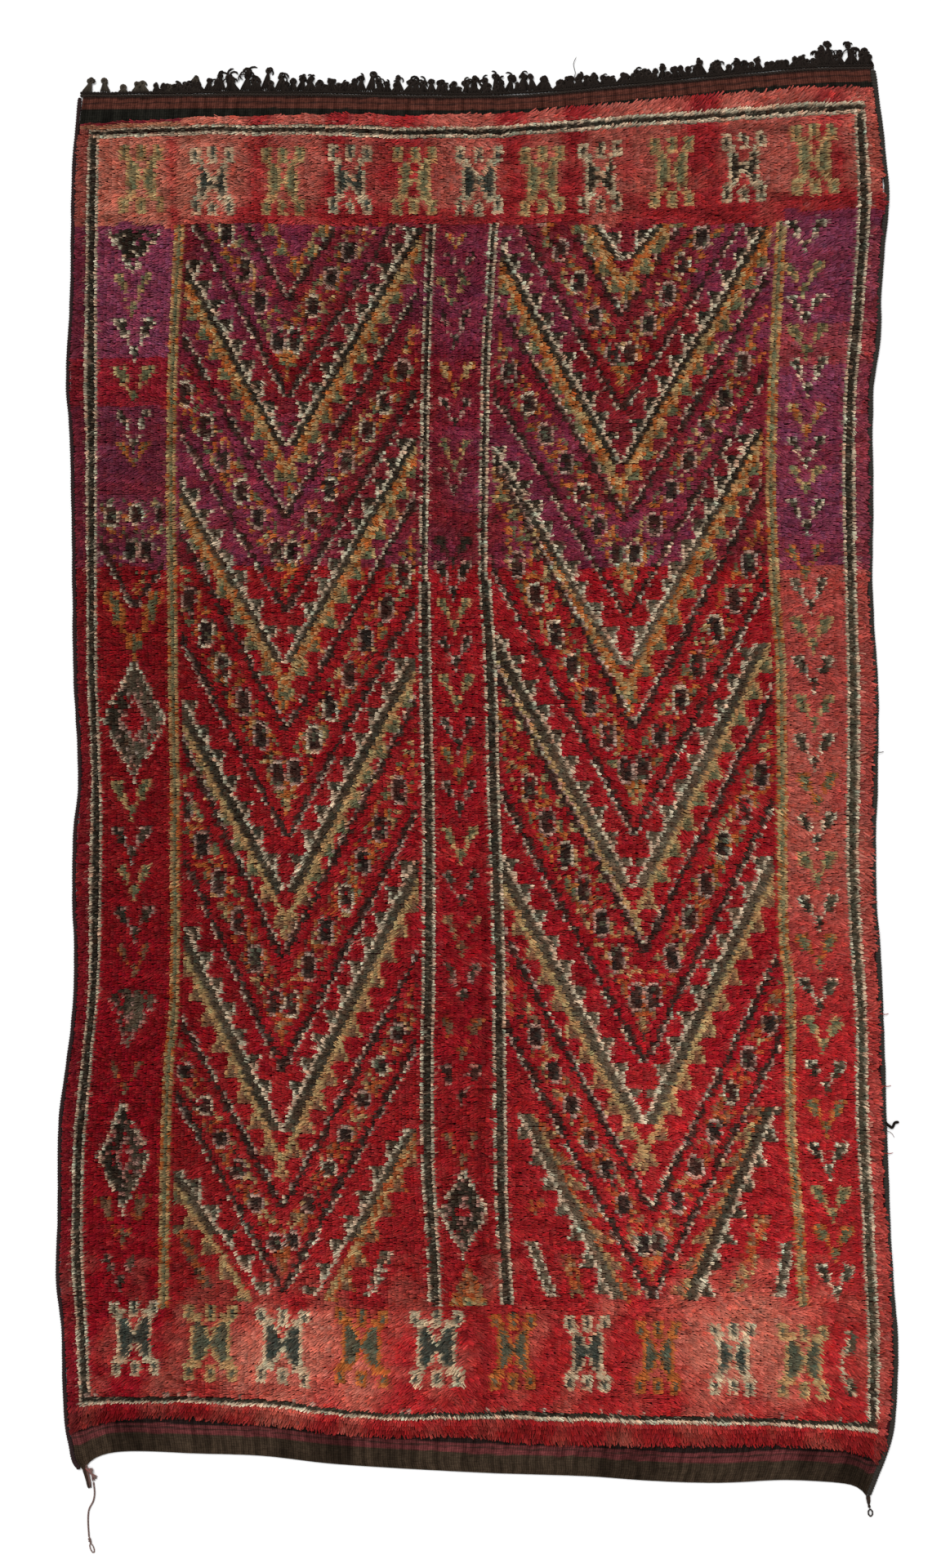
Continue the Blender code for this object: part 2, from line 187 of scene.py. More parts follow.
# A tower: c is its outline and f its filling.
TOWER = """
ccc..cfc..ccc
cfc..cfc..cfc
cfc..cfc..cfc
cccc.ccc.cccc
..cc.....cc..
..cfc...cfc..
..cffc..cfc..
..cffcccffc..
..cffffcffc..
..cffccfffc..
..cffc.cffc..
..cfc...cfc..
.cccc...cccc.
cfcc..c..ccfc
cfc..cfc..cfc
cfc..cfc..cfc
ccc..ccc..ccc
""".split()

# The same tower with its legs apart.
OPEN_TOWER = """
cfc..cfc..cfc
cfc..cfc..cfc
cfc..cfc..cfc
cccc.ccc.cccc
..cfc...cfc..
..cffc..cfc..
..cffc.cffc..
..cffc.cffc..
..cffcccffc..
..cffc.cffc..
..cffc.cffc..
..cfc...cfc..
..ccc...ccc..
cccc.ccc.cccc
cfc..cfc..cfc
cfc..cfc..cfc
ccc..ccc..ccc
""".split()

# The tower of the lower band.
LOW_TOWER = """
ccc..cfc..ccc
cfc..cfc..cfc
cfcc.cfc.ccfc
.ccc.ccc.ccc.
..cfc...cfc..
..cffc.cffc..
..cffc.cffc..
..cfffcfffc..
..cfffffffc..
..cfffcfffc..
..cffc.cffc..
..cffc.cffc..
..cfc...cfc..
.ccc.....ccc.
cccc.ccc.cccc
cfc..cfc..cfc
cfc..cfc..cfc
ccc..ccc..ccc
""".split()

# Three tapering spots that make a V.
SMALL_V = """
cfc.....cfc
cff.....ffc
.cfc...cfc.
..fc...cf..
..cc...cc..
...c...c...
....cfc....
....cff....
.....f.....
.....c.....
""".split()

# s is filling speckled with the outline's yarn.
HEART = """
c.fsf.fsf.c
cfssfsfssfc
.cfsfsfssf.
.csfsssfsc.
..csfsfsc..
..cfssfsc..
...csfsc...
...cfssc...
....csc....
....csc....
.....c.....
""".split()

SPOT_SIZE = (0.026, 0.04)
SPOT = """
.c.
cfc
cfc
.c.
""".split()

EYE = """
.ccc.
cfffc
cfffc
cfffc
cfffc
cfffc
.ccc.
""".split()

# The thin crooked figure at the right end of the lower band.
CROOKED = """
..cf.
..cff
..cff
.cff.
ccc..
c....
c....
c....
cc...
.cfc.
..cff
..ffc
""".split()


def curve_at(table, key):
    """Smooth curve through a two-column table, read at an array of keys."""
    rows = np.array(table)
    k, v = rows[:, 0], rows[:, 1]
    key = np.clip(key, k[0], k[-1])
    i = np.clip(np.searchsorted(k, key, side="right") - 1, 0, len(k) - 2)
    index = np.arange(len(k))
    before, after = np.maximum(index - 1, 0), np.minimum(index + 1, len(k) - 1)
    slope = (v[after] - v[before]) / (k[after] - k[before])
    span = k[i + 1] - k[i]
    t = (key - k[i]) / span
    t2, t3 = t * t, t * t * t
    return (
        v[i] * (2 * t3 - 3 * t2 + 1)
        + slope[i] * span * (t3 - 2 * t2 + t)
        + v[i + 1] * (3 * t2 - 2 * t3)
        + slope[i + 1] * span * (t3 - t2)
    )


def ramp(x):
    x = np.clip(x, 0.0, 1.0)
    return x * x * (3 - 2 * x)


def hill(x, width):
    """1 where x is 0, falling away on both sides."""
    return np.exp(-((x / width) ** 2))


def body_left(y):
    return curve_at(LEFT_SIDE, y) + SELVEDGE_WIDTH + GAP


def body_right(y):
    return curve_at(RIGHT_SIDE, y) - SELVEDGE_WIDTH - GAP


def corner_drop(x, height):
    left = LEFT_CORNER_DROP * np.exp(-(x - body_left(BOTTOM_LEFT_Y)) / LEFT_DROP_WIDTH)
    right = RIGHT_CORNER_DROP * np.exp((x - body_right(BOTTOM_RIGHT_Y)) / RIGHT_DROP_WIDTH)
    fade = np.maximum(0.0, 1.0 - height / DROP_REACH)
    total = np.minimum(left, LEFT_CORNER_DROP) + np.minimum(right, RIGHT_CORNER_DROP)
    return total * fade * fade


def lattice_point(u, v):
    """Point of the cloth at u across and v along, each from 0 to 1."""
    u, v = np.broadcast_arrays(np.asarray(u, float), np.asarray(v, float))
    x = -0.85 + 1.7 * u
    y = -1.45 + 2.92 * v
    for _ in range(12):
        bottom, top = curve_at(BOTTOM_EDGE, x), curve_at(TOP_EDGE, x)
        y = bottom + v * (top - bottom) - corner_drop(x, v * (top - bottom))
        x = body_left(y) + u * (body_right(y) - body_left(y))
    return x, y


def wave_noise(x, y, scale, seed):
    """Smooth noise in about -1 to 1 from sums of turned sine waves."""
    local = np.random.default_rng(seed)
    total, weight = np.zeros_like(x), 0.0
    for octave in range(OCTAVES):
        for _ in range(5):
            turn, phase = local.uniform(0, 2 * np.pi, 2)
            size = local.uniform(0.7, 1.4) * 2**octave / scale
            share = 0.6**octave
            total += share * np.sin(size * (x * np.cos(turn) + y * np.sin(turn)) + phase)
            weight += share * share
    return total / np.sqrt(weight)


# ---------------------------------------------------------------- the knot chart


def guide_columns(y):
    """x of the eight guiding columns at y."""
    left, right = body_left(y) + 0.006, body_right(y) - 0.008 - 0.004 * ramp((-1.15 - y) / 0.1)
    lines = [left] + [curve_at(t, y) for t in (LEFT_BORDER, LEFT_GREEN, CENTRE_LEFT)]
    lines += [curve_at(t, y) for t in (CENTRE_RIGHT, RIGHT_GREEN, RIGHT_BORDER)] + [right]
    return np.stack(lines)


COLUMN_STARTS = np.concatenate([[0], np.cumsum(COLUMN_COUNTS)])
COLUMNS = int(COLUMN_STARTS[-1]) + 1


def knot_x(column, y):
    lines = guide_columns(y)
    part = np.clip(np.searchsorted(COLUMN_STARTS, column, side="right") - 1, 0, 6)
    share = (column - COLUMN_STARTS[part]) / np.array(COLUMN_COUNTS)[part]
    index = np.arange(column.size).reshape(column.shape)
    flat = lines.reshape(8, -1)
    a = flat[part.ravel(), index.ravel()].reshape(column.shape)
    b = flat[part.ravel() + 1, index.ravel()].reshape(column.shape)
    return a + (b - a) * share


def row_shares():
    """Share of the way from the bottom border to the top one for each row, wider apart below."""
    places, y = [], -1.35
    while y < 1.4:
        places.append(y)
        y += LOWER_ROW_PITCH + (UPPER_ROW_PITCH - LOWER_ROW_PITCH) * ramp((y - 0.25) / 0.35)
    places = np.array(places)
    return (places - places[0]) / (places[-1] - places[0])


ROW_SHARES = row_shares()
ROWS_BELOW, ROWS_ABOVE = 6, 4
BORDER_ROWS = len(ROW_SHARES)
ROWS = ROWS_BELOW + BORDER_ROWS + ROWS_ABOVE
LOW_ROW, HIGH_ROW = ROWS_BELOW, ROWS_BELOW + BORDER_ROWS - 1  # of the border line


def knot_y(row, x):
    low, high = curve_at(BOTTOM_BORDER, x), curve_at(TOP_BORDER, x)
    inside = np.clip(row - LOW_ROW, 0, BORDER_ROWS - 1)
    y = low + ROW_SHARES[inside] * (high - low)
    edge_low = curve_at(PILE_BOTTOM, x) + 0.011
    edge_high = curve_at(PILE_TOP, x) - 0.008
    below = (LOW_ROW - row) / ROWS_BELOW
    above = (row - HIGH_ROW) / ROWS_ABOVE
    y = np.where(row < LOW_ROW, low + (edge_low - low) * below, y)
    return np.where(row > HIGH_ROW, high + (edge_high - high) * above, y)


def knot_places():
    row, column = np.meshgrid(np.arange(ROWS), np.arange(COLUMNS), indexing="ij")
    x = -0.87 + 1.73 * column / (COLUMNS - 1)
    y = -1.4 + 2.85 * row / (ROWS - 1)
    for _ in range(6):
        y = knot_y(row, x)
        x = knot_x(column, y)
    return row, column, x, y


ROW, COLUMN, X, Y = knot_places()
CHART = np.full(ROW.shape, GROUND)
SOLID = np.zeros(ROW.shape, bool)  # cream knots that aren't thin dots


def put(mask, yarn):
    """Charts the mask in one yarn, or in a yarn for each knot."""
    CHART[mask] = np.broadcast_to(yarn, X.shape)[mask]


def some(share):
    """This share of all the knots, at random."""
    return rng.random(X.shape) < share


def guide(index):
    return COLUMN - COLUMN_STARTS[index]


def knots_used(wanted, drawn):
    """Whole number of knots nearest the wanted one, odd or even as the drawing is."""
    low = int(np.floor(wanted))
    near = (low - 1, low, low + 1)
    same = [n for n in near if n % 2 == drawn % 2 and n > 1]
    return min(same, key=lambda n: abs(n - wanted))


def draw_figure(chart, centre, size, outline, filling, keep, mask=None):
    """Charts a drawn figure, its rows from the top down, knot by knot about its middle."""
    away = (X - centre[0]) ** 2 + (Y - centre[1]) ** 2
    row, column = np.unravel_index(np.argmin(away), X.shape)
    row, column = min(row, ROWS - 2), min(column, COLUMNS - 2)
    tall = max(3, int(round(size[1] / (Y[row + 1, column] - Y[row, column]))))
    wide = knots_used(size[0] / (X[row, column + 1] - X[row, column]), len(chart[0]))
    for i in range(tall):
        for j in range(wide):
            r, c = row + tall // 2 - i, column - wide // 2 + j
            mark = chart[int((i + 0.5) * len(chart) / tall)][int((j + 0.5) * len(chart[0]) / wide)]
            if mark == "." or not (0 <= r < ROWS and 0 <= c < COLUMNS):
                continue
            if mark == "c" and rng.random() > keep or (mask is not None and not mask[r, c]):
                continue
            if mark == "s":
                speckle = rng.random()
                if speckle < 0.78:
                    CHART[r, c] = filling if speckle < 0.58 else outline
                continue
            CHART[r, c] = outline if mark == "c" else filling


def from_line(line_x):
    """Whole knots from a line, given as its x at every knot, to each knot of the same row."""
    nearest = np.argmin(np.abs(X - line_x), axis=1)
    return COLUMN - nearest[:, None]


def mottled(mask, yarns, weights):
    """Knots of the mask in a random mix of yarns."""
    put(mask, rng.choice(yarns, p=weights, size=X.shape))


# Width of a dark tooth, row by row from its flat top, where rows lie close and wide apart.
TEETH_ABOVE = (3, 2, 1, 0, -1)
TEETH_BELOW = (3, 2, 1, 0, -1, -1)
GREEN_ABOVE = (-1, 0, 1, 2, 3)
GREEN_BELOW = (-1, -1, 0, 1, 2, 3)
CHANGE_Y = 0.42  # where the rows' spacing changes
APEX_DEPTH = 0.094  # of the ochre tail below a chevron's apex
FIELD_TOP, FIELD_BOTTOM = 1.185, -1.118
LINES_TOP, LINES_BOTTOM = 1.188, -1.128
BAND_ABOVE, BAND_BELOW = 1.195, -1.122  # where the bands of towers begin


def tooth_reach(top_y, above, below):
    """How many knots wide the tooth is at each row of an arm that starts at top_y."""
    first = int(np.argmin(np.abs(Y[:, COLUMNS // 2] - top_y)))
    change = int(np.argmin(np.abs(Y[:, COLUMNS // 2] - CHANGE_Y)))
    down = first - ROW
    close = np.array(above)[down % len(above)]
    wide = np.array(below)[(change - ROW) % len(below)]
    return np.where(ROW >= change, close, wide)


def draw_arm(start, end, inward, field, flipped=False, ochre=None, dark_to=-9.0, teeth_to=-9.0):
    """One arm of a chevron: cream beside dark, dark teeth with cream edges on one side and a
    band of ochre with green teeth on the other."""
    slope = (end[0] - start[0]) / (end[1] - start[1])
    along = (Y <= start[1]) & (Y >= end[1]) & field
    way = -1 if flipped else 1
    g = way * inward * from_line(start[0] + slope * (Y - start[1]))
    heavy = flipped or ochre != ORANGE
    put(along & (Y > dark_to) & (g >= -2 - heavy) & (g <= -1), DARK)
    reach = tooth_reach(start[1], TEETH_ABOVE[::way], TEETH_BELOW[::way])
    teeth = along & (Y > teeth_to)
    put(teeth & (g >= 1) & (g < 1 + reach), DARK)
    put(teeth & (reach > 0) & (g == 1 + reach) & some(0.85), CREAM)
    put(teeth & (reach == 0) & (g == 1), CREAM)
    put(along & (g == 0), CREAM)
    SOLID[along & (g >= 0) & (g <= 1)] = True
    draw_ochre((Y <= start[1]) & (Y >= end[1] - 0.1) & field, -g, start[1], flipped, ochre)


def draw_ochre(along, g, top_y, flipped, ochre):
    """The ochre band outside an arm, g knots from its middle, with its green teeth."""
    warm = ORANGE if ochre is None else ochre
    pick = np.where(some(0.45), warm, KHAKI)
    reach = tooth_reach(top_y, GREEN_ABOVE, GREEN_BELOW)
    first = 3 if warm == ORANGE and not flipped else 4
    last = 5 if flipped else 6
    put(along & (g >= first) & (g <= last) & ((g < last) | (reach >= 0)), pick)
    put(along & (g >= last) & (g < last + reach), GREEN)
    put(along & (reach >= 0) & (g == last + reach), pick)


def arm_distance(chevron):
    """Height above a chevron's arms, and distance from its apex across, over the whole rug."""
    (lx, ly), (ax, ay), (rx, ry), _ = chevron
    left, right = (ly - ay) / (ax - lx), (ry - ay) / (rx - ax)
    slope = np.where(X < ax, left, right)
    return Y - (ay + slope * np.abs(X - ax)), X - ax, slope


def draw_thin_line(chevron, offset, mask, cream_below):
    """A thin dark V with cream dots along one side of it."""
    (lx, ly), (ax, ay), (rx, ry), _ = chevron
    rise = Y - (ay + offset)
    left = from_line(ax - rise * (ax - lx) / (ly - ay))
    right = -from_line(ax + rise * (rx - ax) / (ry - ay))
    side = -1 if cream_below else 1
    for h, half in ((left, X < ax), (right, X >= ax)):
        here = mask & half & (rise > 0)
        put(here & (h == 0), BLACK)
        put(here & (h == 0) & some(0.45), BROWN)
        put(here & (h == -side) & some(0.55), BROWN)
        put(here & (h == side) & some(0.7), ECRU)
        put(here & (h == side) & some(0.3), CREAM)


def middle_of(centre, half_width, tall):
    return (np.abs(X - centre[0]) < half_width) & (np.abs(Y - centre[1]) < 0.4 * tall)


def draw_eye(centre, mask, tall, plum):
    """A small upright dark block with a cream outline, its yarns mixed."""
    outline = CREAM if rng.random() < (0.5 if centre[1] > 0.2 else 0.22) else ECRU
    draw_figure(EYE, centre, (0.036, tall), outline, BROWN if plum else BLACK, 0.8, mask)
    inside = middle_of(centre, 0.014, tall) & ((CHART == BROWN) | (CHART == BLACK))
    mottled(inside & some(0.4), [BLACK, BROWN, OLIVE, GROUND], [0.4, 0.25, 0.22, 0.13])


def draw_check(centre, mask, tall):
    """A small upright block of green in a dotted ochre outline."""
    outline = KHAKI if rng.random() < 0.4 else ORANGE
    draw_figure(EYE, centre, (0.033, tall), outline, GREEN, 0.55, mask)
    put(middle_of(centre, 0.013, tall) & (CHART == GREEN) & some(0.45), GROUND)


# Heights above a chevron's arms for a spread of 1, and where the eyes stand beside its apex.
LOW_LINE, HIGH_LINE = 0.107, 0.312
CHECKS_FROM, CHECKS_TO = 0.152, 0.262
EYE_RISE, FIRST_EYE_RISE, CLUSTER_RISE = 0.205, 0.232, 0.178
EYE_FIRST, EYE_STEP, GRID_STEP = 0.0175, 0.0385, 0.036


def draw_inner(chevron, field, upper_limit):
    """Thin lines, eyes and upright checks between a chevron and the one above it."""
    height, across, slope = arm_distance(chevron)
    (lx, ly), (ax, ay), (rx, ry), spread = chevron
    mask = field & (Y < upper_limit)
    checks = mask & (height > CHECKS_FROM * spread) & (height < CHECKS_TO * spread)
    step = (np.abs(across) - EYE_FIRST) / EYE_STEP
    bars = np.abs(step % 1.0 - 0.5) < 0.24
    from_eye = EYE_FIRST + EYE_STEP * np.round(step)
    row_of_eyes = EYE_RISE * spread + slope * from_eye - slope * np.abs(across)
    level = np.abs(height - row_of_eyes)
    grid = np.abs((height / GRID_STEP) % 1.0 - 0.5) < 0.13
    dotted = checks & (bars | grid) & some(0.44)
    mottled(dotted, [ORANGE, GREEN, KHAKI, BROWN], [0.46, 0.16, 0.2, 0.18])
    specks = checks & ~bars & (level > 0.027) & some(0.2)
    mottled(specks, [ORANGE, BROWN, GREEN], [0.52, 0.34, 0.14])
    cluster = (np.abs(across) / 0.03 + np.abs(height - CLUSTER_RISE * spread) / 0.036) < 1
    mottled(mask & cluster & some(0.8), [ORANGE, GREEN, KHAKI], [0.64, 0.18, 0.18])
    draw_thin_line(chevron, LOW_LINE * spread, mask, True)
    draw_thin_line(chevron, HIGH_LINE * spread, mask, False)
    tall = 0.056 * spread
    for k in range(-7, 8):
        if k == 0:
            continue
        shift = np.sign(k) * (EYE_FIRST + EYE_STEP * (abs(k) - 1))
        arm = (ry - ay) / (rx - ax) if k > 0 else (ly - ay) / (ax - lx)
        lift = FIRST_EYE_RISE * spread if abs(k) == 1 else EYE_RISE * spread + arm * abs(shift)
        for step_away in (-1.05, 1.05):
            draw_check((ax + shift, ay + lift + step_away * tall), checks, 0.8 * tall)
        plum = (k * 7 + int(ay * 50)) % 5 < (1 if ay > 0.5 else 3)
        draw_eye((ax + shift, ay + lift), mask, tall, plum)


def draw_chevron(chevron, field, ochre):
    left, apex, right, _ = chevron
    stop_left, stop_right = (apex[0] - 0.002, apex[1]), (apex[0] - 0.003, apex[1])
    left, right = (left[0] - 0.004, left[1]), (right[0] - 0.017, right[1])
    teeth_to = apex[1] + 0.05
    draw_arm(left, stop_left, 1.0, field & (X < apex[0]), ochre=ochre, teeth_to=teeth_to)
    draw_arm(right, stop_right, -1.0, field & (X >= apex[0]), ochre=ochre, teeth_to=teeth_to)
    draw_figure(SPOT, (apex[0], apex[1] - APEX_DEPTH), SPOT_SIZE, ochre, GREEN, 1.0, field)


def draw_meeting(apex, field, ochre):
    """Where the two ochre bands meet below the apex, with green checks beside them."""
    tail = field & (Y < apex[1]) & (Y > apex[1] - APEX_DEPTH)
    half_width = 0.55 * (Y - (apex[1] - APEX_DEPTH))
    pick = np.where(some(0.45), ochre, KHAKI)
    reach = tooth_reach(apex[1], GREEN_ABOVE, GREEN_BELOW)
    left = -from_line(apex[0] - half_width)
    right = from_line(apex[0] + half_width)
    for g, half in ((left, X < apex[0]), (right, X >= apex[0])):
        put(tail & half & (g > 0) & (g <= reach), GREEN)
        put(tail & half & ((np.abs(g) < 1) | ((g == reach + 1) & (reach >= 0))), pick)
    draw_figure(SPOT, (apex[0], apex[1] - APEX_DEPTH), SPOT_SIZE, ochre, GREEN, 1.0, field)


def field_between(low, high):
    return (guide(low) > 2) & (guide(high) < -2) & (Y < FIELD_TOP) & (Y > FIELD_BOTTOM)


def draw_fields():
    left, right = field_between(2, 3), field_between(4, 5)
    draw_left_end(left)
    draw_right_end(right)
    for field, chevrons in ((left, LEFT_CHEVRONS), (right, RIGHT_CHEVRONS)):
        for i, chevron in enumerate(chevrons):
            draw_inner(chevron, field, FIELD_TOP)
            draw_chevron(chevron, field, (ORANGE, ORANGE, KHAKI, KHAKI)[i])
    draw_top_ends(left, right)


def draw_top_ends(left, right):
    """The cut-off chevrons at the top of both fields."""
    for centre, apex, field in ((-0.386, 1.094, left), (0.32, 1.041, right)):
        draw_meeting((centre, apex + APEX_DEPTH), field & (Y > apex - 0.02), ORANGE)
    draw_arm((0.26, 1.188), (0.306, 1.113), 1.0, right & (X < 0.315))
    draw_arm((0.382, 1.192), (0.322, 1.113), -1.0, right & (X >= 0.315))


def draw_left_end(field):
    """The lowest chevron of the left field, cut off by the border band."""
    low = ((-0.643, -0.769), (-0.414, -1.19), (-0.12, -0.638), 0.875)
    draw_inner(low, field, 1.0)
    draw_arm((-0.634, -0.837), (-0.458, -1.103), 1.0, field, ochre=KHAKI, dark_to=-0.968)
    draw_arm((-0.148, -0.744), (-0.344, -1.101), -1.0, field, ochre=ORANGE, dark_to=-0.984)
    bar(field, (-0.64, -0.955), (-0.575, -1.09), 1.6, [GREEN, ORANGE, DARK], [0.4, 0.35, 0.25])
    bar(field, (-0.19, -1.01), (-0.228, -1.105), 1.9, [CREAM, DARK, GROUND], [0.4, 0.35, 0.25])


def draw_right_end(field):
    """The lowest chevron of the right field, its dark teeth on the outside."""
    low = ((0.071, -0.646), (0.371, -1.21), (0.643, -0.666), 0.92)
    draw_inner(low, field, 1.0)
    draw_arm((0.087, -0.712), (0.29, -1.113), 1.0, field, flipped=True, ochre=ORANGE)
    draw_arm((0.638, -0.698), (0.465, -1.117), -1.0, field, flipped=True, ochre=ORANGE)
    yarns = [ORANGE, GREEN, KHAKI, GROUND]
    bar(field, (0.19, -1.015), (0.215, -1.11), 2.2, yarns, [0.4, 0.2, 0.2, 0.2])
    yarns = [ORANGE, KHAKI, GREEN, GROUND]
    bar(field, (0.61, -0.935), (0.555, -1.1), 2.4, yarns, [0.35, 0.25, 0.2, 0.2])
    for start, end in (((0.112, -0.985), (0.16, -1.11)), ((0.664, -0.985), (0.644, -1.11))):
        bar(field, start, end, 1.9, [CREAM], [1.0])
        bar(field, start, (end[0] - 0.002, end[1] + 0.01), 0.9, [DARK], [1.0])
    figure = (0.126, -0.915)
    blob = np.hypot((X - figure[0]) / 0.017, (Y - figure[1]) / 0.02)
    mottled(field & (blob < 1), [ORANGE, GREEN, GROUND], [0.5, 0.25, 0.25])


def bar(field, start, end, width, yarns, weights):
    """A short slanting bar in a mix of yarns."""
    slope = (end[0] - start[0]) / (end[1] - start[1])
    h = (X - start[0] - slope * (Y - start[1])) / COLUMN_PITCH
    mottled(field & (Y < start[1]) & (Y > end[1]) & (np.abs(h) < width), yarns, weights)


def draw_lines():
    """The six upright lines and the border line round them."""
    tall = (Y < LINES_TOP) & (Y > LINES_BOTTOM)
    for index in (2, 3, 4, 5):
        place = guide(index)
        if index in (3, 4):
            wide = 1 + (Y < CHANGE_Y)
            put(tall & (place == -1) & some(0.85), CREAM)
            put(tall & (place == wide), CREAM)
            put(tall & (place >= 0) & (place < wide), DARK)
        else:
            put(tall & (np.abs(place) == 1), KHAKI)
            put(tall & (place == 0), SAGE)
            put(tall & (np.abs(place) == 1) & some(0.3), ORANGE)
    upright = (ROW >= LOW_ROW - 1) & (ROW <= HIGH_ROW + 1)
    for index, first in ((1, -1), (6, 0)):
        put(upright & ((guide(index) == first - 1) | (guide(index) == first + 2)), CREAM)
        put(upright & (guide(index) >= first) & (guide(index) <= first + 1), DARK)
        outer = first - 1 if index == 1 else first + 2
        SOLID[upright & (guide(index) == outer) & some(0.7)] = True
    across = (guide(1) > -2) & (guide(6) < 3)
    put(across & ((np.abs(ROW - HIGH_ROW) == 1) | (ROW == LOW_ROW - 1)), CREAM)
    put(across & ((ROW == HIGH_ROW) | (ROW == LOW_ROW)), DARK)
    put(across & (ROW == LOW_ROW + 1) & some(0.12), ECRU)


TOWER_SIZE, LOW_TOWER_HEIGHT = (0.098, 0.147), 0.16
TOP_TOWERS = (-0.716, -0.561, -0.417, -0.27, -0.134, -0.001, 0.134, 0.263, 0.412, 0.568, 0.722)
BOTTOM_TOWERS = (-0.732, -0.568, -0.412, -0.249, -0.085, 0.071, 0.234, 0.382, 0.542, 0.699)


def draw_towers():
    for i, x in enumerate(TOP_TOWERS):
        y = 1.281 + 0.04 * max(0.0, (x - 0.1) / 0.62)
        cream = i % 2 == 1
        outline, filling = (CREAM, DARK) if cream else (KHAKI, SAGE)
        filling = SLATE if cream and x < 0.2 else filling
        draw_figure(TOWER if cream else OPEN_TOWER, (x, y), TOWER_SIZE, outline, filling, 0.95)
    for i, x in enumerate(BOTTOM_TOWERS):
        y = -1.203 - 0.045 * (x + 0.73) / 1.43
        cream = i % 2 == 0
        outline, filling = (CREAM, SLATE) if cream else (KHAKI, OLIVE)
        if i in (3, 5, 7):
            outline = ORANGE
        size = (0.108 if i < 5 else 0.096, LOW_TOWER_HEIGHT)
        draw_figure(LOW_TOWER, (x, y), size, outline, filling, 0.97)
    draw_figure(CROOKED, (0.786, -1.25), (0.036, 0.138), CREAM, DARK, 0.95)


# Outline and filling that go together.
IVORY, LEAF, EMBER = (CREAM, DARK), (KHAKI, GREEN), (ORANGE, GREEN)

# Small figures of the side columns: chart, middle, size, outline, filling. The two other
# columns have the same, in small Vs only.
LEFT_FIGURES = (
    (HEART, -0.734, 1.128, 0.105, 0.095, *IVORY),
    (SMALL_V, -0.735, 1.031, 0.078, 0.092, *LEAF),
    (SMALL_V, -0.735, 0.937, 0.086, 0.092, *IVORY),
    (SMALL_V, -0.735, 0.839, 0.082, 0.088, *LEAF),
    (SMALL_V, -0.735, 0.742, 0.08, 0.096, *IVORY),
    (SMALL_V, -0.735, 0.687, 0.07, 0.05, *EMBER),
    (SMALL_V, -0.733, 0.33, 0.13, 0.15, *EMBER),
    (SMALL_V, -0.735, -0.05, 0.08, 0.088, *LEAF),
    (SMALL_V, -0.735, -0.138, 0.08, 0.082, *IVORY),
    (SMALL_V, -0.735, -0.222, 0.08, 0.082, *LEAF),
    (SMALL_V, -0.735, -0.312, 0.082, 0.082, *IVORY),
    (SMALL_V, -0.735, -0.39, 0.08, 0.082, *EMBER),
    (HEART, -0.74, -0.518, 0.112, 0.125, *IVORY),
    (SMALL_V, -0.749, -0.64, 0.078, 0.085, *EMBER),
    (SMALL_V, -0.757, -0.945, 0.122, 0.12, *EMBER),
    (SMALL_V, -0.76, -1.057, 0.086, 0.078, *IVORY),
)

CENTRE_FIGURES = (
    (-0.05, 1.148, 0.04, 0.04, KHAKI, ORANGE), (-0.038, 1.092, 0.075, 0.06, *IVORY),
    (-0.052, 1.036, 0.07, 0.07, *LEAF), (-0.05, 0.955, 0.072, 0.085, *IVORY),
    (-0.05, 0.856, 0.076, 0.075, ORANGE, KHAKI), (-0.05, 0.777, 0.07, 0.07, *IVORY),
    (-0.05, 0.686, 0.074, 0.072, *LEAF), (-0.05, 0.637, 0.066, 0.06, CREAM, BROWN),
    (-0.05, 0.483, 0.08, 0.07, BROWN, DARK), (-0.05, 0.418, 0.078, 0.088, *IVORY),
    (-0.05, 0.348, 0.078, 0.08, *LEAF), (-0.045, 0.261, 0.078, 0.084, *IVORY),
    (-0.042, 0.182, 0.078, 0.08, *LEAF), (-0.04, 0.095, 0.08, 0.084, *IVORY),
    (-0.038, 0.033, 0.078, 0.078, *EMBER), (-0.038, -0.046, 0.08, 0.084, *IVORY),
    (-0.036, -0.142, 0.078, 0.086, *LEAF), (-0.035, -0.238, 0.08, 0.09, *IVORY),
    (-0.035, -0.343, 0.078, 0.09, *LEAF), (-0.035, -0.439, 0.08, 0.09, *IVORY),
    (-0.033, -0.557, 0.104, 0.1, *EMBER), (-0.033, -0.658, 0.104, 0.09, CREAM, BROWN),
    (-0.033, -0.798, 0.09, 0.085, *EMBER),
)

